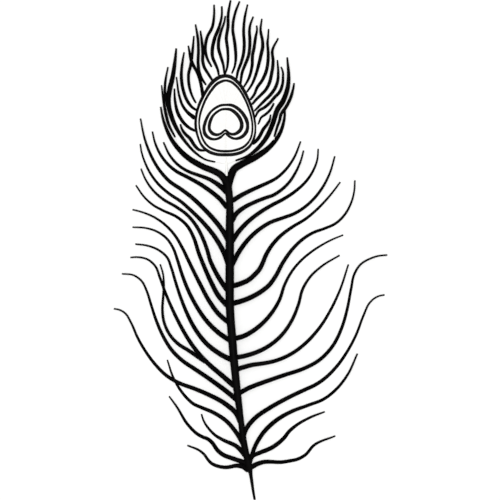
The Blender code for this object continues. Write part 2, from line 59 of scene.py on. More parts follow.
# Ribs of the loose barbs: spacing of their points, half width at root and tip, the share of the
# lock's width that they may fill, corners of their section, and height as a share of width
RIB_STEP = 1.3 * MM
FEWEST_STEPS = 8
RIB_ROOT = 0.34 * MM
RIB_TIP = 0.17 * MM
RIB_SHARE = 0.55
RIB_SIDES = 7
RIB_FLATNESS = 0.66

# The fork's arms have stout ribs. They fill ARM_SHARE of the lock's width, but only ARM_ROOT of
# that at the root, swell over ARM_SWELL of the length, and are slim again by ARM_TAPER of it.
ARM_SHARE = 0.85
ARM_ROOT = 0.3
ARM_SWELL = 0.09
ARM_TAPER = 0.45

# Barbules thin out at a lock's edge, so each lock is this much wider at its root and at its tip,
# in sheet units
LOCK_FRINGE = (0.52, 0.66)
CROWN_FRINGE = (0.70, 0.52)

# Under its barbules each rib has a closed web that droops to both sides: its share of the lock's
# width, the share of that at the root, the length over which it widens from there, its height as
# a share of its half width, and its section
WEB_SHARE = 0.97
WEB_ROOT = 0.4
WEB_START = 1.6 * MM
WEB_DROOP = 0.20
WEB_SECTION = np.array([(1.0, -1.0), (0.0, -0.25), (-1.0, -1.0), (0.0, -1.3)])

# Barbules: spacing along a rib, width and depth, reach as a share of the lock's half width, and
# shares of that reach: forward lean, droop and place of their one bend
BARBULE_PITCH = 0.20 * MM
BARBULE_WIDTH = 0.21 * MM
BARBULE_DEPTH = 0.07 * MM
BARBULE_REACH = 1.10
BARBULE_LEAN = 0.80
BARBULE_DROOP = 0.16
BARBULE_BEND = 0.55

# At the bend: shares of the lean, droop and width that a barbule has there
BEND_LEAN = 0.8
BEND_DROOP = 0.25
BEND_WIDTH = 0.9

# How much barbules differ: places in pitches, then the spread of reach, lean and droop, and how
# far past the usual reach the longest may go. None comes lower than LOWEST.
STRAY = 0.3
REACH_SPREAD = 0.045
LEAN_SPREAD = 0.08
DROOP_SPREAD = 0.07
LONGEST = 1.05
LOWEST = 0.05 * MM

# Every lock: name, route from root to tip, widths at even steps from root to tip in sheet units,
# and heights of its middle line at root, MIDDLE_AT and tip in millimetres
LEFT_LOCKS = [
    ("left_01", [(229, 194), (221, 186.8), (210.2, 179.7), (198.6, 175.2), (192.1, 173), (185.9, 170.2),
     (177, 163.9), (169.5, 154.9), (163.5, 142.3)],
     (6, 3.6, 2.8, 2.2, 1.1), (3.6, 1.6, 3.6)),
    ("left_02", [(228, 209), (220.3, 199.4), (210.9, 191.5), (199.6, 183.8), (187.5, 177.1), (175.9, 171),
     (165.8, 162), (158.3, 150.7), (154.6, 141.5), (152.4, 131.5)],
     (4.5, 3.9, 3.2, 2.4, 1), (3.8, 0.6, 2.4)),
    ("left_03", [(229, 242), (222.1, 229.9), (213.9, 219.4), (203.7, 208.5), (192.9, 198.3),
     (181.8, 189.7), (169.5, 181.3), (159.8, 170.6), (153, 159.6), (144.8, 139.2), (140.6, 118.7)],
     (4.8, 4.1, 3.4, 2.4, 0.9), (4.4, 0.9, 5)),
    ("left_04", [(229.5, 268), (223.9, 252.6), (215.3, 237.6), (204, 223.5), (190.7, 210.2),
     (180.7, 201.4), (169.5, 193.9), (158.7, 184.5), (150.1, 173), (144.5, 161.4), (141.7, 152.9),
     (140.2, 143.9)],
     (4.9, 4.1, 3, 2.2, 0.9), (4.8, 0.5, 2)),
    ("left_05", [(229.5, 293), (221.5, 281.9), (213.1, 267), (209.9, 259.7), (207.8, 252), (203, 238.8),
     (196.4, 226.1), (186.7, 214.5), (175.9, 206.7), (163.6, 199.6), (153.5, 190.8), (145.7, 179.7),
     (141.1, 168.8)],
     (4.9, 3.6, 3.1, 2.3, 0.9), (5, 1.4, 5.6)),
    ("left_06", [(228.6, 307), (218.4, 295.6), (211, 281.9), (204.5, 267.4), (198.5, 252.4),
     (193.9, 238.2), (186.8, 225.4), (176.8, 216.9), (163.4, 210.7), (152.9, 204.9), (144.2, 197),
     (135.9, 185.3)],
     (5, 3.9, 3.1, 2.2, 1), (5, 0.5, 3)),
    ("left_07", [(230.5, 324), (218.4, 313.6), (208.8, 300.3), (200.3, 284.5), (189.5, 262.8),
     (182.5, 248.3), (175.1, 235.7), (165.8, 225.4), (154.2, 217.2), (140, 211.5), (132.7, 209.7)],
     (4.7, 3.8, 3, 2.1, 0.9), (5, 0.9, 5.2)),
    ("left_08", [(231.8, 341.6), (218.4, 332.5), (205, 318.9), (196, 305.4), (187.8, 289.4),
     (182.2, 275.1), (177.4, 260), (173.4, 248.8), (166.8, 238.7), (156.8, 231.5), (145, 227.9),
     (132.5, 227.2)],
     (4.8, 3.8, 3.1, 2.1, 0.9), (5, 0.5, 2.4)),
    ("left_09", [(233.4, 360.7), (221.4, 354.7), (206.6, 343.6), (195.6, 329.7), (187, 313.4),
     (180.3, 296.6), (175.4, 281.7), (171.4, 268.3), (167.1, 257.5), (158.3, 249.9), (146.7, 245.5),
     (135.4, 244.1)],
     (4.9, 4, 2.9, 2.1, 1), (4.9, 0.8, 4.4)),
    ("left_10", [(235.3, 387), (222.9, 376.1), (209.8, 365), (198.8, 353.6), (190.8, 343), (178, 321),
     (170.5, 305.2), (164.3, 290.1), (159.8, 277.6), (155.5, 266.6), (147.5, 259.4), (136.7, 257.1),
     (130.4, 257.5)],
     (5, 4, 3.2, 2.2, 1), (4.6, 0.5, 2.6)),
    ("left_11", [(206.5, 362.6), (197.5, 356.5), (187.1, 349.5), (179.8, 345.1), (170.4, 335.6),
     (163.7, 320.8), (162.4, 308.3), (163.2, 296.7), (163.8, 282), (163.3, 275), (160.3, 264.2)],
     (3.9, 3.2, 2.4, 1.8, 0.9), (3.4, 2.6, 5.4)),
    ("left_12", [(239, 401.5), (222.9, 388.5), (209.8, 379.1), (195.7, 369.6), (182.5, 360.7),
     (172.1, 350.6), (163.3, 336.8), (155.1, 317.6), (150.6, 303.4), (146.6, 290.8), (141.5, 280.9),
     (133.3, 275.1), (122.1, 273.8)],
     (4.8, 3.9, 3.2, 2.1, 0.9), (4.3, 0.7, 4.8)),
    ("left_13", [(241, 424), (237, 414.6), (225.1, 403.6), (210.2, 395.4), (194.5, 388.7), (179.6, 383.3),
     (166.8, 375.9), (155.5, 364.9), (146.1, 352.4), (137.5, 337.6), (130.8, 322.4), (125.3, 313.4),
     (119.7, 309.9), (113.9, 308.7)],
     (4.9, 4, 3.1, 2.2, 1), (3.9, 0.6, 3.2)),
    ("left_14", [(245, 448), (236.2, 432.5), (226.3, 421), (213.3, 412.6), (200.2, 407.1), (193.7, 404.2),
     (188.2, 399.6), (179.8, 389.4), (173.4, 378), (167.2, 359.9)],
     (4.2, 3.8, 3.1, 2.2, 1), (3, 0.5, 0.6)),
    ("left_15", [(247, 458), (237.1, 446.8), (222.6, 439.8), (215.8, 435.8), (210.2, 430.5),
     (203.2, 419.8), (201.5, 414.1)],
     (4.5, 3.9, 2.8, 1.9, 1), (2.5, 1, 2.6)),
    ("left_16", [(247.5, 463.5), (230.1, 457.6), (223.7, 455.2), (218.4, 451.3), (211, 441.6),
     (207.4, 438.9), (203.1, 437.3), (199.1, 435.3), (188, 425), (176.8, 406.9), (169.2, 396.2)],
     (4.5, 3.9, 3.1, 2.3, 0.9), (2.2, 0.6, 3.8)),
    ("left_17", [(249.4, 471.4), (243.2, 466.8), (238.2, 465.8), (225.2, 467.5), (217, 466.1),
     (211.4, 463.5), (207.7, 459.6), (204.4, 454.9), (200.2, 451.2), (187.3, 445.4)],
     (5.4, 3.4, 3, 2.1, 1.1), (1.9, 0.5, 2.2)),
]

RIGHT_LOCKS = [
    ("right_01", [(231, 201.7), (241.2, 195.3), (252.2, 189.7), (264.3, 184.3), (276.5, 178),
     (286.6, 168.6), (294, 157.8), (300.7, 141.4)],
     (4.6, 3.6, 2.8, 2.1, 1), (3.7, 0.5, 2.6)),
    ("right_02", [(231, 223), (236, 214), (244.4, 207.3), (254.3, 202.3), (266.4, 197.5), (272.7, 195.4),
     (278.4, 192), (288.7, 182.8), (295.9, 171.8), (300.9, 160.4), (303.5, 150.7)],
     (5, 3.6, 3, 2.2, 1), (4.2, 1.6, 5)),
    ("right_03", [(230.5, 244), (238.8, 231.4), (248, 221.7), (259.6, 212.6), (271.7, 205.2),
     (283.9, 198.8), (296, 190.7), (306, 181.4), (313, 171), (317.3, 159.6), (318.2, 148.8)],
     (4.8, 3.8, 3.2, 2.3, 0.9), (4.5, 0.5, 2)),
    ("right_04", [(231, 267), (239.5, 251), (249.2, 238.4), (259.2, 229.4), (270.1, 222.5), (282.4, 218),
     (294.5, 213.5), (306.2, 205.9), (316.1, 196.2), (323.9, 185.2), (329.8, 173.1), (334.7, 156.4)],
     (4.7, 3.8, 3, 2.3, 1), (4.9, 1, 5.6)),
    ("right_05", [(231, 286.5), (241.1, 283.4), (248.1, 280.2), (254.2, 275.1), (259.3, 269.5),
     (262.7, 262.9), (265.8, 255.3), (269.8, 248.3), (280, 236.3), (292.6, 226.8), (304.9, 219.4),
     (315.6, 210.7), (325.1, 201.1), (333.6, 191), (340.2, 182.1)],
     (4.9, 4.1, 3.1, 2.2, 1), (5, 0.5, 2.8)),
    ("right_06", [(231, 304), (246.2, 299.3), (262.3, 290.7), (269.3, 284.9), (274.7, 277.6),
     (283.2, 262.1), (293.7, 247.7), (303.1, 238.9), (313.3, 232.6), (324.8, 228.4), (335.5, 223.5),
     (344.3, 215.2), (350.5, 204.4), (354, 192.2), (354.8, 180.4)],
     (5, 4, 2.9, 2.1, 0.9), (5.1, 0.8, 4.6)),
    ("right_07", [(232, 339), (243, 336.2), (257.8, 327.3), (270.2, 314.8), (279.6, 299.6),
     (284.5, 285.1), (291.9, 271.4), (300.6, 261), (310, 252.9), (321, 245.5), (332.2, 239.5),
     (343.2, 235)],
     (4.8, 3.7, 2.5, 1.9, 0.9), (5.1, 0.5, 2.4)),
    ("right_08", [(232.5, 358), (246.3, 355.4), (264.4, 348.5), (280.5, 336.3), (291.4, 321.2),
     (298.3, 305), (302.6, 289.4), (310.1, 277), (323.4, 265), (339.5, 255.3)],
     (4.5, 3.7, 2.9, 2.1, 1), (5, 1.2, 5)),
    ("right_09", [(234.5, 370), (245.6, 366.5), (253, 364.6), (260.4, 363.7), (277.1, 360.2),
     (293.7, 352.4), (307.3, 341.6), (320.5, 326.5), (331.4, 308.6), (339.8, 290.5), (348.4, 264.4)],
     (4.5, 3.5, 3, 2.2, 1), (4.8, 0.5, 3)),
    ("right_10", [(237.2, 394.2), (249, 387.8), (266, 381.3), (284.6, 374.9), (303.3, 368.7),
     (319, 360.3), (332, 347), (342, 327.3), (347.7, 307.2), (351.1, 289.1), (354.5, 273.8),
     (360.4, 264.6), (370.6, 258.4), (378.5, 255.9), (387, 255)],
     (4.4, 3.6, 3, 2.1, 1), (4.4, 0.8, 5.2)),
    ("right_11", [(242.6, 440), (245.4, 430.3), (254.3, 418.7), (269.6, 407.9), (287.3, 398.1),
     (306.1, 389.2), (314.8, 385.2), (322.7, 380.1), (337.1, 366.1), (348, 350.5), (356.7, 333.7),
     (363.5, 315.7), (370.2, 302.2), (375.3, 297.7), (379.6, 295.8), (384.5, 294.9)],
     (4.4, 3.9, 3.1, 2.1, 1), (3.3, 0.5, 2.8)),
    ("right_12", [(250.6, 458.4), (256, 444.3), (264.4, 431.4), (276.4, 420.3), (291.3, 411.7),
     (308, 405.4), (323.8, 399.2), (337.6, 388), (347.6, 374.8), (357.3, 353.5)],
     (3.6, 4.1, 3, 2.4, 1.1), (2.4, 0.7, 4.6)),
    ("right_13", [(249, 464.2), (249.9, 459.6), (252.6, 455.8), (257.4, 453.7), (273, 447), (284.1, 438),
     (289.1, 431.6), (295.2, 426.3), (310.5, 417.4), (324.8, 411.7)],
     (6.2, 3.7, 4, 3.8, 3.4, 2.9, 2.3, 1.8, 1), (2.4, 0.5, 2.6)),
    ("right_14", [(249, 468.5), (258.6, 463.5), (265, 461.9), (271.5, 461.9), (280.5, 462.3),
     (289.4, 461.1), (297.9, 459.2), (305.4, 455), (313.4, 445.9), (335.3, 435.8)],
     (4.9, 3.4, 3, 2.3, 1), (1.9, 0.6, 3.4)),
]

# The fork's two arms and the locks of the crown
CROWN_LOCKS = [
    ("arm_left", [(228, 191), (225.6, 181), (222, 176.1), (210, 169.4), (204.9, 167.6), (200.1, 165.1),
     (190, 159.2), (180, 150.5), (171, 138.5), (166, 127.8), (162.9, 118.5), (160.8, 107)],
     (7.6, 5.9, 5, 3.3, 1.2), (3.4, 1.2, 3.6)),
    ("arm_right", [(228.1, 191), (229.4, 181.1), (231.4, 174.7), (234.4, 168.8), (240.1, 165.1),
     (255.9, 156.9), (268.7, 147.7), (279, 135), (284.2, 119.5), (285, 107.5)],
     (6.4, 7.5, 6.9, 6.1, 5.4, 4.4, 3.4, 2.4, 1.3), (3.4, 1.2, 2)),
    ("crown_02", [(226.4, 164), (215.4, 162), (205.1, 159.4), (195.7, 153), (185.8, 142.3),
     (178.4, 131.7), (172.7, 120), (168.3, 100.5), (169.7, 89), (172.4, 78), (175.1, 60), (176.3, 48.5)],
     (1.2, 1.2, 2, 2.9, 4, 4.5, 4.6, 3.5, 1.4), (1.9, 1.2, 3.4)),
    ("crown_03", [(179, 146), (175.2, 137.4), (168.7, 124.6), (165.3, 111), (163.2, 98), (161.6, 85.4)],
     (1.2, 1.6, 2.5, 2.6, 2, 0.8), (1.3, 3.2, 4.4)),
    ("crown_04", [(170.8, 117), (167, 104), (165, 93), (165, 85), (166, 77), (168.1, 67.3)],
     (1.9, 2.1, 2.2, 2, 1.1), (1.3, 1.5, 4.6)),
    ("crown_05", [(195.8, 131), (190.3, 128.4), (185.6, 124.7), (178.1, 113.6), (175, 100.8),
     (174.4, 88.6)],
     (2.1, 2.7, 3, 2.2, 1.1), (0.8, 1.8, 2.8)),
    ("crown_06", [(195.4, 118.7), (186.1, 110.6), (182.2, 104.8), (179.9, 98.2), (178.3, 91.5),
     (177.4, 84.8), (176.5, 77.1)],
     (4, 2.5, 2.1, 1.6, 1), (0.8, 1.2, 3.4)),
    ("crown_07", [(197, 110.4), (191.9, 107), (188.1, 102.2), (183.1, 89.8), (181.3, 76.4), (182.8, 60),
     (184.2, 52.5)],
     (1.8, 2.7, 2.7, 2.8, 2.2, 1.1), (0.8, 2.4, 4.4)),
    ("crown_08", [(200, 107), (196.7, 103.7), (191.3, 93.7), (188.5, 79.6), (188.7, 73.2), (190.3, 67),
     (192.7, 50), (193.9, 36)],
     (1.2, 1.7, 2.4, 2.5, 2.5, 2.1, 1.1), (0.8, 3.4, 3)),
    ("crown_09", [(203, 97), (201.1, 85), (197.8, 73.5), (192, 62.5), (188.2, 45.5)],
     (3, 2.6, 2.8, 2.8, 1.1), (0.8, 1.2, 1)),
    ("crown_10", [(208.3, 88), (205.8, 84.5), (201.1, 77.1), (199.1, 71.2), (198.2, 65), (198.4, 50),
     (198.1, 41), (195.6, 24.7)],
     (1.2, 2.1, 2.6, 2.5, 2.4, 2.1, 1.1), (0.8, 2.2, 5.4)),
    ("crown_11", [(212.5, 80.5), (208.7, 74.5), (203.8, 66), (202.6, 60.1), (202.8, 54), (201.9, 42),
     (200.4, 30.7)],
     (1.9, 2.5, 2.7, 2.7, 2.3, 1.1), (0.8, 1.6, 2.6)),
    ("crown_12", [(215.5, 77.5), (211.8, 67.2), (207.2, 58.4), (205.2, 48.2), (205.8, 42.5), (207.2, 37),
     (212.1, 27.5), (214.1, 15), (214.1, 5)],
     (1.2, 1.5, 2.4, 2.6, 2.5, 2.1, 1.2), (0.8, 2.2, 4.6)),
    ("crown_13", [(218.9, 75.5), (217.7, 69.5), (214.8, 62.6), (212.5, 56.8), (212.2, 51), (214.7, 38),
     (219.2, 26.6), (221.8, 15), (221.8, 6.3)],
     (1.6, 2.5, 2.9, 3.1, 2.7, 2, 1.3), (0.8, 1.2, 2.4)),
    ("crown_14", [(224.3, 74), (223.4, 65.5), (220.2, 54.6), (218.6, 48.9), (218.4, 43), (221, 31.5),
     (224.5, 21.5), (225.3, 16.3)],
     (1.3, 2.3, 2.8, 2.7, 2, 1.2), (0.8, 2.6, 5)),
    ("crown_15", [(225, 74), (227.1, 67.5), (227.9, 61), (227.7, 50), (226.3, 38), (228, 26), (228.1, 15),
     (230.6, 0.2)],
     (1.2, 2.1, 2.5, 2.8, 2.7, 2.4, 1.4), (0.8, 1, 2)),
    ("crown_16", [(230.6, 77), (232, 73), (234.4, 67.1), (235.6, 61), (235.4, 49), (233.8, 37),
     (232.8, 30.9), (232.9, 25), (235.2, 13), (239.6, 1.6)],
     (1.2, 1.6, 2.5, 2.8, 2.5, 2.3, 2.1, 1.3), (0.8, 2.4, 4.6)),
    ("crown_17", [(236.4, 79), (237.8, 71.5), (241.1, 62.6), (243.4, 53.9), (244.2, 45), (243.6, 31),
     (244.5, 19), (247.6, 4.5)],
     (1.6, 2.4, 2.7, 2.6, 2.5, 2.1, 1.1), (0.8, 1.2, 2.8)),
    ("crown_18", [(240.5, 84), (242, 73), (246.1, 62.2), (248.2, 56.8), (249.3, 51.1), (249.8, 38),
     (249.4, 31.9), (250, 26), (253.3, 17)],
     (1.7, 2.4, 2.7, 2.6, 2.7, 2.2, 1.2), (0.8, 2.4, 5.4)),
    ("crown_19", [(243.5, 87.5), (248.9, 78), (252, 66), (252.7, 54), (254, 48.1), (254.9, 42),
     (255.8, 35.9), (257, 30), (256.6, 25.5)],
     (1.3, 2.3, 2.7, 2.8, 2.5, 1.1), (0.8, 1, 1.8)),
    ("crown_20", [(246.8, 92), (252, 84.1), (255.5, 75.6), (259.1, 63), (261, 54.7), (262.7, 46.5),
     (262.5, 41), (260.5, 30), (261.9, 19)],
     (1.4, 2.3, 2.8, 3.1, 2.3, 1.1), (0.8, 2, 4.2)),
    ("crown_21", [(250, 100), (254.3, 94.3), (257, 87.6), (262.2, 80.2), (265.9, 72.1), (268.2, 57),
     (267.9, 48), (267.5, 43), (268, 38), (268.6, 29)],
     (1.9, 2.5, 2.9, 2.7, 2.2, 1), (0.8, 1.2, 2.6)),
    ("crown_22", [(251.8, 104.5), (256.3, 99.3), (261.1, 94.6), (265.4, 90.2), (268.5, 85), (271.7, 73),
     (273.1, 61), (272.3, 51), (278.2, 38.5)],
     (1.9, 2.5, 2.9, 2.8, 2.3, 1.2), (0.8, 2.2, 5)),
    ("crown_23", [(254.3, 111), (265.2, 99.8), (271, 94), (275.3, 87.6), (277.8, 80.1), (278.2, 72),
     (277.4, 60)],
     (1.4, 2.4, 2.9, 2.8, 2.1, 1), (0.8, 1, 2.4)),
    ("crown_24", [(255.1, 117.4), (258.5, 111), (264.7, 107.2), (270.6, 102), (274.8, 97), (279.3, 92.4),
     (282.7, 83), (283, 77), (282.9, 72), (281, 67)],
     (1.4, 2.4, 2.6, 2.8, 2.1, 1.1), (0.8, 1.9, 4)),
    ("crown_25", [(255.4, 127), (258.3, 123.8), (261.1, 117.5), (266.3, 113.7), (270.8, 109),
     (273.9, 103.2)],
     (1.2, 1.4, 2.1, 2.1, 1.5), (0.8, 0.9, 1.6)),
    ("crown_26", [(252, 144), (256, 140.9), (259, 137.3), (261.2, 133.2), (263.1, 129.5), (266.9, 124.6),
     (269.9, 119.4), (270.6, 114.6)],
     (3, 3, 3, 2.6, 1), (0.8, 1.2, 2.8)),
    ("crown_27", [(226.6, 164), (236.1, 160.4), (248.2, 155.8), (259, 147), (267.1, 136.3),
     (272.8, 123.5), (277.9, 108.6), (282.6, 101.8), (285.9, 94), (287.9, 86.6), (288.6, 79),
     (287.2, 57.5)],
     (1.2, 1.6, 3.6, 4.3, 4.4, 5, 4.3, 2.9, 1.2), (1.9, 1.1, 3.8)),
    ("crown_28", [(273.6, 142.6), (274.5, 136.3), (275.9, 131.4), (277.3, 126.6), (279.6, 120.3),
     (281.2, 113.8), (285.2, 108.2), (288.7, 102.1), (293.1, 89.2), (294.1, 83.3)],
     (1.2, 1.9, 2.6, 3, 2.7, 1.3), (1.2, 2.2, 4.2)),
    ("crown_30", [(206.3, 150.6), (198.6, 149.5), (194.7, 145.6), (189.7, 138.1), (185.4, 134.1),
     (182, 129.3), (180.4, 124.2)],
     (1.4, 2.7, 3.1, 2.7, 1.2), (0.8, 1.2, 2.6)),
]

# The crown's barbs that are dark from the root on grow out of the eye vane, all but one that forks
# off its neighbour. Their ribs start this far inside the vane, in sheet units.
OFF_NEIGHBOUR = "crown_04"
EYE_ROOT_DEPTH = 1.6

# The shaft's dark part, from the quill's tip to the fork: x, y, width, and height of its middle
# line in millimetres
SHAFT = [
    (254.7, 499.9, 1.5, 0.4), (253, 490, 1.9, 0.75), (251.7, 481, 2.4, 1.2), (250.8, 475, 2.8, 1.5),
    (249.2, 466, 5.5, 2), (245.6, 452, 6, 2.7), (243.1, 438, 5.8, 3.3), (240.9, 420, 5.3, 3.9),
    (238.3, 400, 6.3, 4.4), (234.9, 370, 7.2, 4.9), (232.3, 340, 7.6, 5.2), (230.1, 310, 7.6, 5.3),
    (229.8, 265, 7.9, 5.1), (229.8, 222, 7.3, 4.3), (229.7, 202, 6.5, 3.8), (228.6, 190, 6.7, 3.4),
    (227.2, 180, 4.6, 3), (226.8, 176.2, 3.2, 2.8),
]

# Spacing of the shaft's points, its height as a share of its width, the corners of its section,
# and its grooves: their number and their depth as a share of its half width
SHAFT_STEP = 1.1 * MM
SHAFT_FLATNESS = 0.62
SHAFT_SIDES = 40
SHAFT_GROOVES = 10
GROOVE_DEPTH = 0.035

# Light from the pale ground eats into the shaft's edges, so it is this much wider, in sheet units
SHAFT_SKIN = 0.9

# Growth rings swell the shaft by up to this share: two waves of these angles a point, multiplied
GROWTH_SWELL = 0.012
GROWTH_WAVES = (1.9, 0.37)

# Outline of the eye's closed vane, clockwise from its top
EYE_EGG = [
    (225.5, 74), (231, 75), (238.2, 80.1), (244.5, 88.3), (249, 97.3), (252.6, 106.4), (255.4, 118.5),
    (256.2, 128), (255.6, 135.5), (251.8, 145.7), (242.5, 153.4), (234, 155.9), (225.5, 156.3),
    (216, 155.7), (208.1, 153), (200.5, 145.7), (196.5, 135.5), (194.4, 125), (195, 115.5),
    (198.5, 102.4), (204.5, 90.5), (209.1, 83.2), (215, 77.4), (220.3, 74.7),
]

# Crown barbs with a bare pale root, up to the second point of their route, and the height in
# millimetres at which it leaves the shaft, an arm or the eye's rim
PALE_ROOTED = {
    "crown_02": 1.35, "crown_03": 0.40, "crown_08": 0.18, "crown_10": 0.18, "crown_12": 0.18,
    "crown_16": 0.18, "crown_25": 0.18, "crown_27": 1.35, "crown_28": 0.40,
}

# Pale roots: width, what is left of it at the end, how far they run on inside the dark part, over
# what length they rise to the barb's own height, and how much closer than a rib's their points are
PALE_ROOT_WIDTH = 0.62 * MM
PALE_ROOT_TAPER = 0.55
PALE_ROOT_OVERLAP = 1.5 * MM
PALE_ROOT_RISE = 3.0 * MM
PALE_ROOT_FINENESS = 2

# The shaft's slim bare end runs on from inside the fork to under the eye's rim
PALE_SHAFT = [
    (228, 185, 2.4, 2.7), (227.1, 179, 2.5, 2.5), (226.5, 168, 2.1, 1.7), (226.2, 159.5, 1.7, 0.85),
    (225.8, 154, 1.4, 0.45),
]
PALE_FLATNESS = 0.8
PALE_SIDES = 14

# The eye's vane: barbs to each side, steps along a barb and how they crowd inward, its middle,
# where its topmost barb leaves the midrib, and the share of the rim that its lowest barb takes up
EYE_BARBS = 128
EYE_STEPS = 36
EYE_CROWDING = 1.3
EYE_MIDDLE_X = 225.5
EYE_MIDDLE_Y = 118.0
EYE_TOP_ROOT = 100.0
EYE_LOWER_RIM = 0.34
EYE_SAMPLES = 400

# Heights of the vane's underside and upper side, at its rim and at its middle, and how they fall
VANE_RIM = (0.06 * MM, 0.56 * MM)
VANE_CROWN = (0.35 * MM, 1.02 * MM)
VANE_FALL = 1.4
VANE_LOWEST = 0.01 * MM

# Each barb of the vane is a ridge: its height, the shares of that at the midrib and underneath.
# It ends in a tooth at the rim: its length, how much teeth differ, the depth of the notches
# between them as a share of it, and how suddenly it rises.
RIDGE = 0.085 * MM
RIDGE_ROOT = 0.35
RIDGE_BELOW = 0.5
TOOTH = 0.16 * MM
TOOTH_SPREAD = 0.3
NOTCH = 0.7
TOOTH_ONSET = 12

# The midrib: its height, how far from its middle it has all but run out, and the share of its
# height that is left towards the crown, after it fades between two heights of the sheet
MIDRIB_HEIGHT = 0.55 * MM
MIDRIB_WIDTH = 0.62 * MM
MIDRIB_TOP = 0.12
MIDRIB_FADE = (104.0, 136.0)

# Points of the vane's two halves that lie this close are one
WELD = 0.0005 * MM

# Dark rings of the eye, as colour only: points of each ring's middle line and its width there
RINGS = {
    "egg_outer": [
        (225.5, 75.8, 3.2), (230.5, 76.9, 3), (235.8, 80.5, 2.9), (240.6, 85.3, 3), (244.4, 91.4, 2.9),
        (247.5, 97.4, 2.5), (251, 106, 2.1), (252.6, 111, 1.9), (254.6, 120.5, 1.6), (255.4, 128, 1.3),
        (254.6, 135.5, 1.7), (250.2, 145.5, 2.3), (242.5, 151.6, 2.7), (234.5, 154.1, 2.8),
        (225.5, 154.7, 2.9), (216.5, 154.1, 2.7), (208.5, 151.2, 2.5), (202.1, 145.5, 2),
        (197.5, 135.5, 1.9), (195.6, 125, 2.2), (195.8, 118.5, 2.2), (198.5, 106.5, 2.3),
        (201.9, 98.5, 2.7), (206.3, 90.5, 2.8), (211.2, 83.5, 3.1), (214.7, 80.3, 3.1),
        (220.5, 76.7, 3.2),
    ],
    "egg_inner": [
        (225.5, 80.4, 2), (230.5, 81.5, 2.2), (236, 85.5, 2.2), (240.8, 91.5, 1.9), (244.2, 97.5, 1.9),
        (247, 103.5, 1.8), (249.2, 109.5, 1.7), (251.2, 116.5, 1.6), (252.4, 125, 1.5), (252.3, 131, 1.5),
        (251.6, 135.5, 1.6), (249.5, 140.5, 1.7), (245.4, 145.5, 2.1), (234.5, 150.4, 2.1),
        (225.5, 151.2, 2.2), (216.5, 150.3, 2.1), (208.5, 146.6, 1.9), (203.5, 140.5, 1.8),
        (200.7, 133, 1.6), (199.1, 123, 1.4), (199.9, 115.5, 1.7), (202.6, 106.5, 1.9),
        (206.1, 98.5, 2.1), (211.1, 90.5, 2.3), (217.1, 83.7, 2.5), (220.5, 81.8, 2.4),
    ],
    "kidney_outer": [
        (225.8, 104.8, 2), (231.4, 105.1, 2.6), (238, 108.6, 3), (242.9, 113.7, 3.1), (246.3, 119.5, 3.4),
        (247.7, 125.9, 2.8), (246.5, 131.5, 3.3), (243.6, 135.4, 3), (239, 138.1, 2.7),
        (234.9, 138.6, 2.1), (230.6, 137.2, 2.2), (228.6, 135.9, 2), (227.1, 134.5, 2),
        (225.5, 133.3, 1.3), (223.9, 134.2, 1.6), (222.4, 135.7, 1.7), (220.5, 137.2, 2.2),
        (218.5, 138.3, 2.2), (214.6, 139.2, 2), (209.5, 138.1, 2.7), (205.4, 134.6, 3.1),
        (203.9, 128.8, 2.8), (205.1, 122.6, 2.8), (207.6, 116.5, 2.4), (210.9, 111.6, 2),
        (215.7, 107.7, 2.1), (221.2, 105.2, 2.1),
    ],
    "kidney_inner": [
        (225.8, 109, 2.1), (230.6, 109.6, 2.7), (235.5, 112.8, 3.2), (239.3, 117.3, 3.3),
        (241.6, 123.1, 3.4), (241.3, 128, 3.3), (238.3, 132.1, 3.2), (233.5, 134.2, 2.5),
        (229.3, 133.3, 2.2), (226.8, 131.2, 2.2), (225.1, 130.3, 1.9), (223.3, 131.5, 1.8),
        (220.3, 133.8, 2), (216.7, 134.7, 2.5), (212.4, 133.3, 3.1), (209.5, 129.5, 2.7),
        (209.3, 125.2, 2.8), (210.5, 120.4, 2.8), (213.2, 115.4, 2.2), (217.4, 111.6, 2.1),
        (221.7, 109.4, 2),
    ],
}

# Light from the pale barbs eats into a ring's edges, so it is this much wider, in sheet units
RING_SPREAD = 0.55
RING_SAMPLES = 360

# Points are measured against a ring in this many lots, to save memory
RING_LOTS = 24

# Colours: the two that each finish varies between, and the painted shade in the grooves between the
# vane's barbs
BARB_BLACKS = (0.0008, 0.0007, 0.0008, 1), (0.0040, 0.0034, 0.0036, 1)
SHAFT_BLACKS = (0.0007, 0.0006, 0.0007, 1), (0.0028, 0.0024, 0.0024, 1)
RING_BLACKS = (0.0008, 0.0007, 0.0008, 1), (0.0036, 0.0032, 0.0034, 1)
IVORIES = (0.87, 0.86, 0.83, 1), (0.93, 0.925, 0.905, 1)
VANE_WHITES = (0.88, 0.875, 0.86, 1), (0.94, 0.935, 0.92, 1)
GROOVE_PAINTED_SHADE = (0.70, 0.69, 0.66, 1)

# A ring's edge: shares of its half width where it starts and stops fading, and how much the barbs
# differ in where their dark pigment ends
RING_EDGE = (0.95, 1.05)
RAGGED = 0.09

# The floor is so large that its edge lies at the horizon of a low view
FLOOR_SIZE = 40.0
FLOOR_COLOUR = (0.93, 0.93, 0.925, 1)
WHITE = (1, 1, 1, 1)
WORLD_STRENGTH = 0.35

# Lamps: place, size of the square in metres and power in watts
OVERHEAD_LAMP = (0.0, 0.0, 3.0), 0.9, 68.0
WINDOW_LAMP = (-0.7, 0.8, 1.9), 1.4, 3.5

# Camera: lens and sensor in their usual millimetres, and the height above the floor at which the
# frame is as high as the feather is long
CAMERA_LENS = 200.0
SENSOR = 36.0
MIDDLE_HEIGHT = 2.0 * MM

# Margin round the flat map for baking, the least length of a direction, and the seed of the draws
MAP_MARGIN = 0.01
TINY = 1e-12
SEED = 20


# ---- routes

def running_length(places):
    """Distance along a line of points, seen from above."""
    steps = np.linalg.norm(np.diff(places[:, :2], axis=0), axis=1)
    return np.concatenate([[0.0], np.cumsum(steps)])


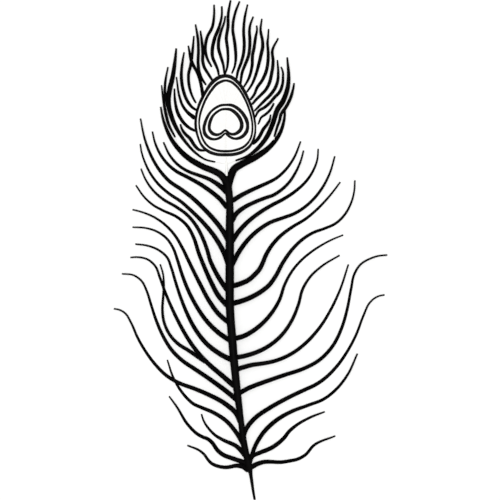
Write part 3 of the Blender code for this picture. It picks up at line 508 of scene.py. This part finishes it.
def nearest(places, spot):
    """Which of the points lies nearest to a spot, seen from above."""
    return int(np.argmin(np.linalg.norm(places[:, :2] - np.array(spot[:2]), axis=1)))


def smooth_path(points, count):
    """Count + 1 evenly spaced points of a smooth curve through the given ones."""
    knots = np.array(points, dtype=float)
    along = running_length(knots)
    slopes = np.gradient(knots, along, axis=0)
    wanted = np.linspace(0.0, along[-1], count + 1)
    first = np.clip(np.searchsorted(along, wanted) - 1, 0, len(along) - 2)
    span = (along[first + 1] - along[first])[:, None]
    t = (wanted - along[first])[:, None] / span
    start = (2 * t**3 - 3 * t**2 + 1) * knots[first] + (t**3 - 2 * t**2 + t) * span * slopes[first]
    end = (3 * t**2 - 2 * t**3) * knots[first + 1] + (t**3 - t**2) * span * slopes[first + 1]
    return start + end


def closed_loop(points, samples):
    """One full turn of a smooth ring through the given points, evenly sampled."""
    outline = smooth_path([*points[-2:], *points, *points[:3]], samples * 2)
    first = nearest(outline[:samples], points[0])
    last = samples + nearest(outline[samples:], points[0])
    picks = np.linspace(first, last, samples + 1)[:-1]
    return outline[np.round(picks).astype(int)]


def path_length(points):
    """Length of a route in sheet units."""
    return float(running_length(np.array(points, dtype=float))[-1])


def height_along(share, heights):
    """Height of a lock's middle line, in metres: eased down to MIDDLE_AT, then curling to the tip."""
    root, middle, tip = heights
    fall = np.clip(share / MIDDLE_AT, 0, 1)
    curl = np.clip((share - MIDDLE_AT) / (1 - MIDDLE_AT), 0, 1)
    eased = fall * fall * (3 - 2 * fall)
    return (root + (middle - root) * eased + (tip - middle) * curl * curl) * MM


def to_world(flat):
    """Sheet points to metres in the feather's own frame."""
    return np.column_stack([(flat[:, 0] - SHEET_MIDDLE_X) * UNIT, (SHEET / 2 - flat[:, 1]) * UNIT])


def to_sheet(places):
    """Places on the feather back to sheet points."""
    return np.column_stack([places[:, 0] / UNIT + SHEET_MIDDLE_X, SHEET / 2 - places[:, 1] / UNIT])


def route_of_lock(name, route, widths, heights):
    """World points of a lock's middle line, evenly spaced, and its width at each, in metres."""
    count = max(FEWEST_STEPS, round(path_length(route) * UNIT / RIB_STEP))
    share = np.linspace(0, 1, count + 1)
    places = np.column_stack([to_world(smooth_path(route, count)), height_along(share, heights)])
    wide = np.interp(share, np.linspace(0, 1, len(widths)), widths)
    root, tip = CROWN_FRINGE if name.startswith("crown") else LOCK_FRINGE
    return places, (wide + root + (tip - root) * share) * UNIT


def unit_rows(rows):
    """Each row scaled to length one."""
    return rows / np.maximum(np.linalg.norm(rows, axis=1), TINY)[:, None]


def at_length(along, values, wanted):
    """Values at distances along a line, column by column."""
    return np.column_stack([np.interp(wanted, along, column) for column in values.T])


# ---- meshes

class Heap:
    """Points and faces of closed shapes, gathered for one mesh."""

    def __init__(self):
        self.points = []
        self.faces = []
        self.count = 0

    def add(self, points, *face_groups):
        """Add one shape, whose faces count its points from 0."""
        self.points.append(points)
        for faces in face_groups:
            self.faces.extend((np.asarray(faces) + self.count).tolist())
        self.count += len(points)

    def mesh(self, name):
        """Everything gathered, as a smooth-shaded mesh with a flat map for baking."""
        points = np.concatenate(self.points)
        data = bpy.data.meshes.new(name)
        data.from_pydata(points.tolist(), [], self.faces)
        data.shade_smooth()
        corners = np.empty(len(data.loops), dtype=np.int32)
        data.loops.foreach_get("vertex_index", corners)
        low, high = points[:, :2].min(axis=0), points[:, :2].max(axis=0)
        flat = MAP_MARGIN + (1 - 2 * MAP_MARGIN) * (points[:, :2] - low) / (high - low)
        layer = data.uv_layers.new(name="OFBake")
        layer.uv.foreach_set("vector", flat[corners].astype(np.float32).ravel())
        return data


def in_scene(name, data):
    """A new object of the scene."""
    made = bpy.data.objects.new(name, data)
    bpy.context.scene.collection.objects.link(made)
    return made


def shown_piece(data, finish):
    """A finished piece of the feather, which rides on its body and stands for its solid."""
    piece = in_scene(data.name, data)
    data.materials.append(finish)
    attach(piece, "root")
    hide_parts("feather")
    return piece


def round_section(sides, groove_count=0):
    """Corners of a round section, one from the middle, with grooves if any are asked for."""
    angle = np.arange(sides) * 2 * np.pi / sides
    radius = 1 - GROOVE_DEPTH * (0.5 + 0.5 * np.cos(angle * groove_count)) ** 2 * (groove_count > 0)
    return np.column_stack([np.cos(angle), np.sin(angle)]) * radius[:, None]


def rod(heap, places, half_widths, half_heights, section):
    """A closed rod along places, whose section's corners are scaled to each place's half sizes.

    No corner comes lower than the surface that the feather lies on.
    """
    tangents = unit_rows(np.gradient(places, axis=0))
    across = unit_rows(np.column_stack([tangents[:, 1], -tangents[:, 0], np.zeros(len(places))]))
    upward = np.cross(across, tangents)
    sides = len(section)
    sideways = across[:, None] * (half_widths[:, None] * section[:, 0])[..., None]
    lifted = upward[:, None] * (half_heights[:, None] * section[:, 1])[..., None]
    rings = (places[:, None] + sideways + lifted).reshape(-1, 3)
    centre = upward * (half_heights * section[:, 1].mean())[:, None]
    ends = np.array([places[0] + centre[0] - tangents[0] * half_heights[0] / 2,
                     places[-1] + centre[-1] + tangents[-1] * half_heights[-1] / 2])
    points = np.concatenate([rings, ends])
    points[:, 2] = np.maximum(points[:, 2], 0.0)
    ring, step = np.meshgrid(np.arange(len(places) - 1), np.arange(sides), indexing="ij")
    a, b = ring * sides + step, ring * sides + (step + 1) % sides
    quads = np.stack([a, a + sides, b + sides, b], axis=-1).reshape(-1, 4)
    first = np.arange(sides)
    after = (first + 1) % sides
    last = (len(places) - 1) * sides
    root_cap = np.column_stack([first, after, np.full(sides, len(rings))])
    tip_cap = np.column_stack([after + last, first + last, np.full(sides, len(rings) + 1)])
    heap.add(points, quads, root_cap, tip_cap)


def barbules(heap, places, widths, start, random):
    """Two rows of forward-leaning barbules, from start on along a rib, out to the lock's edge."""
    along = running_length(places)
    tangents = unit_rows(np.gradient(places[:, :2], axis=0))
    for side in (-1, 1):
        foot = np.arange(start, along[-1] - BARBULE_PITCH, BARBULE_PITCH)
        foot = foot + random.uniform(-STRAY, STRAY, len(foot)) * BARBULE_PITCH
        half = np.interp(foot, along, widths) / 2
        reach = half * BARBULE_REACH * random.normal(1, REACH_SPREAD, len(foot))
        lean = reach * BARBULE_LEAN * random.normal(1, LEAN_SPREAD, len(foot))
        outer = np.minimum(foot + lean, along[-1])
        elbow = np.minimum(foot + lean * BARBULE_BEND * BEND_LEAN, along[-1])
        half_there = np.interp(outer, along, widths) / 2
        reach = np.minimum(reach, half_there * BARBULE_REACH * LONGEST)
        root = at_length(along, places, foot)
        bend = stepped_aside(along, places, tangents, elbow, side * reach * BARBULE_BEND)
        tip = stepped_aside(along, places, tangents, outer, side * reach)
        droop = random.normal(BARBULE_DROOP, DROOP_SPREAD, len(foot)) * reach
        bend[:, 2] -= droop * BEND_DROOP
        tip[:, 2] -= droop
        slivers(heap, root, bend, tip)


def stepped_aside(along, places, tangents, wanted, aside):
    """Points at distances along a line, moved sideways from it."""
    spot = at_length(along, places, wanted)
    heading = unit_rows(at_length(along, tangents, wanted))
    spot[:, 0] -= heading[:, 1] * aside
    spot[:, 1] += heading[:, 0] * aside
    return spot


def slivers(heap, root, bend, tip):
    """Closed three-sided slivers that bend once and end in a point."""
    heading = unit_rows((tip - root)[:, :2])
    left = np.column_stack([-heading[:, 1], heading[:, 0], np.zeros(len(root))]) * BARBULE_WIDTH / 2
    up = np.array([0.0, 0.0, BARBULE_DEPTH])
    slim = left * BEND_WIDTH
    points = np.stack([root + left, root - left, root + up,
                       bend + slim, bend - slim, bend + up, tip], axis=1)
    points[..., 2] = np.maximum(points[..., 2], LOWEST)
    base = np.arange(len(root))[:, None] * points.shape[1]
    quads = [np.add(base, corners) for corners in ((0, 3, 4, 1), (0, 2, 5, 3), (2, 1, 4, 5))]
    ends = [np.add(base, corners) for corners in ((0, 1, 2), (3, 6, 4), (3, 5, 6), (5, 4, 6))]
    heap.add(points.reshape(-1, 3), *quads, *ends)


def rib_profile(name, share, widths):
    """Half width of a lock's rib along it: slim, or at an arm's root nearly the whole lock."""
    slim = RIB_ROOT + (RIB_TIP - RIB_ROOT) * share
    if name.startswith("arm"):
        swell = ARM_ROOT + (1 - ARM_ROOT) * np.clip(share / ARM_SWELL, 0, 1)
        stout = np.clip(1 - share / ARM_TAPER, 0, 1) * ARM_SHARE * swell
        return np.maximum(slim, widths / 2 * stout)
    return np.clip(slim, RIB_TIP, np.maximum(widths / 2 * RIB_SHARE, RIB_TIP))


def dark_start(route, places):
    """Length of a barb's pale root, which ends at the second point of its route."""
    dark = to_world(np.array([route[1]]))[0]
    return running_length(places)[nearest(places, dark)]


def lock_of_barbs(heap, name, route, widths, heights, random):
    """One loose barb: its rib, and barbules from where its dark part begins."""
    places, wide = route_of_lock(name, route, widths, heights)
    along = running_length(places)
    start = 0.0
    if name in PALE_ROOTED:
        start = dark_start(route, places)
    barbules(heap, places, wide, start, random)
    share = along / along[-1]
    kept = along >= start - RIB_STEP / 2
    rib, share, wide = places[kept], share[kept], wide[kept]
    if name.startswith("crown") and name != OFF_NEIGHBOUR and not start:
        inward = unit_rows(rib[:1] - rib[1:2])[0] * EYE_ROOT_DEPTH * UNIT
        rib = np.concatenate([[rib[0] + inward], rib])
        share, wide = np.concatenate([[0], share]), np.concatenate([wide[:1], wide])
    half = rib_profile(name, share, wide)
    rod(heap, rib, half, half * RIB_FLATNESS, round_section(RIB_SIDES))
    begun = np.clip((share * along[-1] - start) / WEB_START, 0, 1)
    web = wide / 2 * WEB_SHARE * (WEB_ROOT + (1 - WEB_ROOT) * begun)
    rod(heap, rib, web, web * WEB_DROOP, WEB_SECTION)


def barb_piece(name, locks, finish, random):
    """A group of loose barbs as one piece."""
    heap = Heap()
    for lock in locks:
        lock_of_barbs(heap, *lock, random)
    return shown_piece(heap.mesh(name), finish)


# ---- shaft and pale roots

def stretch_of_shaft(points):
    """Evenly spaced places along a stretch of the shaft, and its width at each in sheet units."""
    route = smooth_path(points, round(path_length(points) * UNIT / SHAFT_STEP))
    return np.column_stack([to_world(route), route[:, 3] * MM]), route[:, 2]


def build_shaft(finish):
    """The dark shaft, from the quill's tip to the fork, with grooves and slight growth rings."""
    places, wide = stretch_of_shaft(SHAFT)
    fine, slow = [np.sin(np.arange(len(wide)) * angle) for angle in GROWTH_WAVES]
    half = (wide + SHAFT_SKIN) * UNIT / 2 * (1 + GROWTH_SWELL * fine * slow)
    heap = Heap()
    rod(heap, places, half, half * SHAFT_FLATNESS, round_section(SHAFT_SIDES, SHAFT_GROOVES))
    return shown_piece(heap.mesh("shaft"), finish)


def build_pale_shaft(finish):
    """The slim bare end of the shaft, from inside the fork to under the eye's rim."""
    places, wide = stretch_of_shaft(PALE_SHAFT)
    half = wide * UNIT / 2
    heap = Heap()
    rod(heap, places, half, half * PALE_FLATNESS, round_section(PALE_SIDES))
    return shown_piece(heap.mesh("pale_shaft_end"), finish)


def build_pale_roots(finish):
    """Bare ivory roots that carry the crown barbs whose dark part starts away from the eye."""
    heap = Heap()
    egg = closed_loop(EYE_EGG, EYE_SAMPLES)[:, :2]
    for name, route, widths, heights in CROWN_LOCKS:
        if name not in PALE_ROOTED:
            continue
        places, _ = route_of_lock(name, route, widths, heights)
        fine = smooth_path(places, len(places) * PALE_ROOT_FINENESS)
        bare = fine[running_length(fine) <= dark_start(route, fine) + PALE_ROOT_OVERLAP]
        covered = inside(egg, to_sheet(bare))
        run = running_length(bare)
        rise = np.clip((run - run[covered.sum()]) / PALE_ROOT_RISE, 0, 1)
        low = PALE_ROOTED[name] * MM
        bare[:, 2] = low + (bare[:, 2] - low) * rise
        half = PALE_ROOT_WIDTH / 2 * np.linspace(1.0, PALE_ROOT_TAPER, len(bare))
        rod(heap, bare, half, half * PALE_FLATNESS, round_section(PALE_SIDES))
    return shown_piece(heap.mesh("pale_barb_roots"), finish)


# ---- eye vane

def along_line(line, share):
    """Points at shares of a line's length."""
    along = running_length(line)
    return at_length(along, line, share * along[-1])


def half_of_rim(side):
    """The eye's rim on one side, from its lowest point up to its top."""
    outline = closed_loop(EYE_EGG, EYE_SAMPLES)[:, :2]
    top, bottom = np.array(EYE_EGG[0]), np.array(max(EYE_EGG, key=lambda point: point[1]))
    low = nearest(outline, bottom)
    half = outline[:low + 1][::-1] if side > 0 else np.concatenate([outline[low:], outline[:1]])
    half = half.copy()
    half[0], half[-1] = bottom, top
    return half


def steps_outward(count):
    """Shares of the way from the vane's middle to its rim, closer together near the middle."""
    return np.linspace(0, 1, count) ** EYE_CROWDING


def barb_grid(side):
    """Sheet points of one half of the vane, blended between its four sides.

    Rows are barb edges and ridges, and columns run outward.
    """
    rim = half_of_rim(side)
    row = np.linspace(0, 1, 2 * EYE_BARBS + 1)[:, None, None]
    column = steps_outward(EYE_STEPS + 1)[None, :, None]
    middle = np.array([[EYE_MIDDLE_X, rim[0, 1]], [EYE_MIDDLE_X, EYE_TOP_ROOT]])
    inner = along_line(middle, row[:, 0, 0])[:, None]
    outer = along_line(rim, EYE_LOWER_RIM + (1 - EYE_LOWER_RIM) * row[:, 0, 0])[:, None]
    lower = along_line(rim, EYE_LOWER_RIM * column[0, :, 0])[None]
    upper = along_line(np.array([middle[1], rim[-1]]), column[0, :, 0])[None]
    corners = ((1 - row) * (1 - column) * lower[:, :1] + row * (1 - column) * upper[:, :1]
               + (1 - row) * column * lower[:, -1:] + row * column * upper[:, -1:])
    return (1 - column) * inner + column * outer + (1 - row) * lower + row * upper - corners


def vane_heights(grid):
    """Upper and lower height of the vane over a grid: crowned, ridged by barbs, with a midrib."""
    rows, columns = grid.shape[:2]
    column = steps_outward(columns)[None]
    crown = (1 - column) ** VANE_FALL
    rise = RIDGE * (RIDGE_ROOT + (1 - RIDGE_ROOT) * column)
    ridge = np.where(np.arange(rows) % 2, 1.0, -1.0)[:, None] * rise
    aside = (grid[..., 0] - EYE_MIDDLE_X) * UNIT
    fade = np.clip((grid[..., 1] - MIDRIB_FADE[0]) / (MIDRIB_FADE[1] - MIDRIB_FADE[0]), 0, 1)
    midrib = MIDRIB_HEIGHT * np.exp(-2 * (aside / MIDRIB_WIDTH) ** 2)
    midrib = midrib * (MIDRIB_TOP + (1 - MIDRIB_TOP) * fade)
    upper = VANE_RIM[1] + (VANE_CROWN[1] - VANE_RIM[1]) * crown + ridge + midrib
    lower = VANE_RIM[0] + (VANE_CROWN[0] - VANE_RIM[0]) * crown + ridge * RIDGE_BELOW
    return upper, np.maximum(lower, VANE_LOWEST)


def half_vane(heap, side, random):
    """Add one half of the vane, an upper and a lower sheet joined along the rim.

    Returns each point's place among the barbs, counted in barbs.
    """
    grid = barb_grid(side)
    rows, columns = grid.shape[:2]
    upper, lower = vane_heights(grid)
    flat = to_world(grid.reshape(-1, 2))
    outward = unit_rows(flat - to_world(np.array([[EYE_MIDDLE_X, EYE_MIDDLE_Y]])))
    length = random.normal(1, TOOTH_SPREAD, rows)
    tooth = (np.where(np.arange(rows) % 2, 1.0, -NOTCH) * length)[:, None] * TOOTH
    tooth = tooth * (np.linspace(0, 1, columns) ** TOOTH_ONSET)[None]
    tooth[0] = tooth[-1] = 0
    flat = flat + outward * tooth.reshape(-1, 1)
    points = np.concatenate([np.column_stack([flat, upper.ravel()]),
                             np.column_stack([flat, lower.ravel()])])
    row, column = np.meshgrid(np.arange(rows - 1), np.arange(columns - 1), indexing="ij")
    a = (row * columns + column).ravel()
    under = rows * columns
    top = np.column_stack([a, a + 1, a + columns + 1, a + columns])
    low = np.arange(columns - 1)
    low_wall = np.column_stack([low + 1, low, low + under, low + 1 + under])
    edge = np.arange(rows - 1) * columns + columns - 1
    wall = np.column_stack([edge + columns, edge, edge + under, edge + columns + under])
    groups = [top, top[:, ::-1] + under, low_wall, wall]
    if side < 0:
        groups = [faces[:, ::-1] for faces in groups]
    heap.add(points, *groups)
    return np.tile(np.repeat(np.arange(rows) / 2 + (side > 0) * 2 * EYE_BARBS, columns), 2)


def inside(ring, points):
    """Which points lie inside a closed ring of corners."""
    ahead = np.roll(ring, -1, axis=0)
    within = np.zeros(len(points), dtype=bool)
    for (x1, y1), (x2, y2) in zip(ring, ahead):
        crosses = (y1 > points[:, 1]) != (y2 > points[:, 1])
        if y1 != y2:
            at_x = x1 + (points[:, 1] - y1) * (x2 - x1) / (y2 - y1)
            within ^= crosses & (points[:, 0] < at_x)
    return within


def ring_offset(name, points):
    """Signed distance of sheet points from a ring's middle line, in halves of its width there."""
    ring = closed_loop(RINGS[name], RING_SAMPLES)
    ring[:, 2] += RING_SPREAD
    gap = np.empty(len(points))
    half = np.empty(len(points))
    for lot in np.array_split(np.arange(len(points)), RING_LOTS):
        distance = np.linalg.norm(points[lot, None] - ring[None, :, :2], axis=2)
        gap[lot] = distance.min(axis=1)
        half[lot] = ring[distance.argmin(axis=1), 2] / 2
    return np.where(inside(ring[:, :2], points), -gap, gap) / half


def build_eye_vane(finish, random):
    """The closed vane of the eye, with each ring's offset and each barb's number kept on it."""
    heap = Heap()
    values = {"barb_number": np.concatenate([half_vane(heap, side, random) for side in (-1, 1)])}
    data = heap.mesh("eye_vane")
    sheet = to_sheet(np.concatenate(heap.points))
    for name in RINGS:
        values[name] = ring_offset(name, sheet)
    for name, value in values.items():
        kept = data.attributes.new(name, "FLOAT", "POINT")
        kept.data.foreach_set("value", value.astype(np.float32))
    weld_middle(data)
    return shown_piece(data, finish)


def weld_middle(data):
    """Join the vane's two halves where they share their middle line."""
    shape = bmesh.new()
    shape.from_mesh(data)
    bmesh.ops.remove_doubles(shape, verts=shape.verts, dist=WELD)
    shape.to_mesh(data)
    shape.free()
    data.shade_smooth()


# ---- finishes

class Wire:
    """A node's output, with arithmetic that adds Math nodes."""

    def __init__(self, finish, socket):
        self.finish = finish
        self.socket = socket

    def maths(self, operation, *values):
        return self.finish.node("ShaderNodeMath", {"operation": operation}, dict(enumerate(values)))

    def __add__(self, other):
        return self.maths("ADD", self, other)

    def __sub__(self, other):
        return self.maths("SUBTRACT", self, other)

    def __rsub__(self, other):
        return self.maths("SUBTRACT", other, self)

    def __mul__(self, other):
        return self.maths("MULTIPLY", self, other)

    __radd__ = __add__
    __rmul__ = __mul__

    def __abs__(self):
        return self.maths("ABSOLUTE", self)

    def whole(self):
        return self.maths("FLOOR", self)

    def part(self):
        return self.maths("FRACT", self)


class Finish:
    """A material in the making."""

    def __init__(self, name, **constants):
        self.material = bpy.data.materials.new(name)
        self.material.use_nodes = True
        self.tree = self.material.node_tree
        self.shader = self.tree.nodes["Principled BSDF"]
        for socket, value in constants.items():
            self.shader.inputs[socket.replace("_", " ")].default_value = value

    def node(self, kind, settings, values, output=0):
        """A new node: its settings first, then the values or wires of its sockets."""
        made = self.tree.nodes.new(kind)
        for setting, value in settings.items():
            setattr(made, setting, value)
        for socket, value in values.items():
            self.feed(made.inputs[socket], value)
        return Wire(self, made.outputs[output])

    def feed(self, socket, value):
        """Link a wire to a socket, or set the socket to a value."""
        if isinstance(value, Wire):
            self.tree.links.new(value.socket, socket)
        else:
            socket.default_value = value

    def set(self, socket, value):
        """Feed one of the shader's own sockets."""
        self.feed(self.shader.inputs[socket], value)

    def place(self):
        """Place on the feather, in metres."""
        return self.node("ShaderNodeTexCoord", {}, {}, "Object")

    def kept(self, name):
        """A value kept on the mesh's points."""
        return self.node("ShaderNodeAttribute", {"attribute_name": name}, {}, "Fac")

    def stretched(self, place, scale):
        """A place with each axis scaled."""
        return self.node("ShaderNodeVectorMath", {"operation": "MULTIPLY"}, {0: place, 1: scale})

    def noise(self, place, scale, detail):
        """Soft noise from 0 to 1."""
        return self.node("ShaderNodeTexNoise", {}, {"Vector": place, "Scale": scale, "Detail": detail})

    def eased(self, value, low, high):
        """A value eased from 0 at low to 1 at high."""
        return self.node("ShaderNodeMapRange", {"interpolation_type": "SMOOTHSTEP"},
                         {"Value": value, "From Min": low, "From Max": high})

    def blend(self, share, colour_a, colour_b):
        """A mix of two colours."""
        return self.node("ShaderNodeMix", {"data_type": "RGBA"},
                         {"Factor": share, "A": colour_a, "B": colour_b}, "Result")

    def bumped(self, height, distance, strength):
        """The shader's normal, bumped by a height from 0 to 1."""
        self.set("Normal", self.node("ShaderNodeBump", {},
                                     {"Height": height, "Distance": distance, "Strength": strength}))


def barb_black():
    """Near black fibres, softly mottled along the feather."""
    finish = Finish("barb_black", Specular_IOR_Level=0.03)
    place = finish.place()
    mottle = finish.eased(finish.noise(place, scale=45.0, detail=3.0), low=0.35, high=0.68)
    fibre = finish.noise(place, scale=1900.0, detail=1.0)
    finish.set("Base Color", finish.blend(mottle, *BARB_BLACKS))
    finish.set("Roughness", 0.52 + 0.28 * fibre)
    finish.bumped(fibre, distance=0.03 * MM, strength=0.6)
    return finish.material


def shaft_black():
    """Near black keratin with a satin face and fine lengthwise lines."""
    finish = Finish("shaft_black", Specular_IOR_Level=0.022)
    place = finish.place()
    lengthwise = finish.stretched(place, (5200.0, 160.0, 5200.0))
    lines = finish.noise(lengthwise, scale=1.0, detail=3.0)
    patches = finish.eased(finish.noise(place, scale=70.0, detail=3.0), low=0.35, high=0.7)
    finish.set("Base Color", finish.blend(patches, *SHAFT_BLACKS))
    finish.set("Roughness", 0.34 + 0.22 * lines + 0.08 * patches)
    finish.bumped(lines, distance=0.05 * MM, strength=0.5)
    return finish.material


def pale_keratin():
    """Bare ivory keratin with fine lengthwise lines."""
    finish = Finish("pale_keratin", Specular_IOR_Level=0.3)
    lengthwise = finish.stretched(finish.place(), (3600.0, 400.0, 3600.0))
    lines = finish.noise(lengthwise, scale=1.0, detail=2.0)
    finish.set("Base Color", finish.blend(lines, *IVORIES))
    finish.set("Roughness", 0.38 + 0.2 * lines)
    finish.bumped(lines, distance=0.03 * MM, strength=0.4)
    return finish.material


def eye_white_with_rings():
    """White close-knit barbs, each a little different, with painted shade in the grooves between them,
    and dark rings that run across them.
    """
    finish = Finish("eye_white_with_rings", Specular_IOR_Level=0.06)
    number = finish.kept("barb_number") + 0.5
    own = finish.node("ShaderNodeTexWhiteNoise", {"noise_dimensions": "1D"},
                      {"W": number.whole()}, "Value")
    ink = inked(finish, (own - 0.5) * RAGGED)
    groove = finish.eased(abs(number.part() - 0.5), low=0.34, high=0.5)
    barbule = finish.node("ShaderNodeTexWave", {"wave_type": "BANDS", "bands_direction": "Y"},
                          {"Vector": finish.place(), "Scale": 900.0, "Distortion": 1.5})
    # The grooves between the barbs are painted a darker grey, as painted shade
    white = finish.blend(groove * 0.35, finish.blend(own, *VANE_WHITES), GROOVE_PAINTED_SHADE)
    finish.set("Base Color", finish.blend(ink, white, finish.blend(own, *RING_BLACKS)))
    finish.set("Roughness", 0.62 + 0.2 * own - 0.1 * ink)
    finish.bumped(barbule * (1 - groove), distance=0.03 * MM, strength=0.5)
    return finish.material


def inked(finish, ragged):
    """Share of dark pigment: 1 inside any ring's width and beyond the outer ring, else 0."""
    clear = 1.0
    for name in RINGS:
        offset = finish.kept(name)
        across = abs(offset) if name != "egg_outer" else offset * -1
        clear = clear * finish.eased(across + ragged, *RING_EDGE)
    return 1 - clear


# ---- floor, light and camera

def build_floor():
    """A plain pale floor under the feather."""
    finish = Finish("pale_floor", Specular_IOR_Level=0.0)
    finish.set("Base Color", FLOOR_COLOUR)
    finish.set("Roughness", 0.95)
    half = FLOOR_SIZE / 2
    data = bpy.data.meshes.new("floor")
    data.from_pydata([(-half, -half, 0), (half, -half, 0), (half, half, 0), (-half, half, 0)], [],
                     [(0, 1, 2, 3)])
    data.materials.append(finish.material)
    floor = in_scene("floor", data)


def soft_lamp(name, place, size, power):
    """A square soft light that faces the feather."""
    data = bpy.data.lights.new(name, "AREA")
    data.size = size
    data.energy = power
    lamp = in_scene(name, data)
    lamp.location = place
    lamp.rotation_euler = (-Vector(place)).to_track_quat("-Z", "Y").to_euler()


def light_the_scene():
    """White surroundings, a broad light overhead and a faint one from the side."""
    world = bpy.data.worlds.new("white_room")
    world.use_nodes = True
    surround = world.node_tree.nodes["Background"]
    surround.inputs["Color"].default_value = WHITE
    surround.inputs["Strength"].default_value = WORLD_STRENGTH
    bpy.context.scene.world = world
    soft_lamp("overhead", *OVERHEAD_LAMP)
    soft_lamp("window", *WINDOW_LAMP)
    bpy.context.scene.view_settings.view_transform = "Standard"


def place_camera():
    """Straight above the feather, with its crown at the top of the picture."""
    data = bpy.data.cameras.new("camera")
    data.lens = CAMERA_LENS
    data.sensor_width = SENSOR
    camera = in_scene("camera", data)
    distance = FEATHER_LENGTH * CAMERA_LENS / SENSOR
    camera.location = ((SHEET / 2 - SHEET_MIDDLE_X) * UNIT, 0, distance + MIDDLE_HEIGHT)
    bpy.context.scene.camera = camera


def build():
    """Every piece of the feather, then floor, light and camera."""
    random = np.random.default_rng(SEED)
    black = barb_black()
    barb_piece("left_barbs", LEFT_LOCKS, black, random)
    barb_piece("right_barbs", RIGHT_LOCKS, black, random)
    barb_piece("crown_barbs", CROWN_LOCKS, black, random)
    pale = pale_keratin()
    build_pale_roots(pale)
    build_pale_shaft(pale)
    build_shaft(shaft_black())
    build_eye_vane(eye_white_with_rings(), random)
    build_floor()
    light_the_scene()
    place_camera()


build()
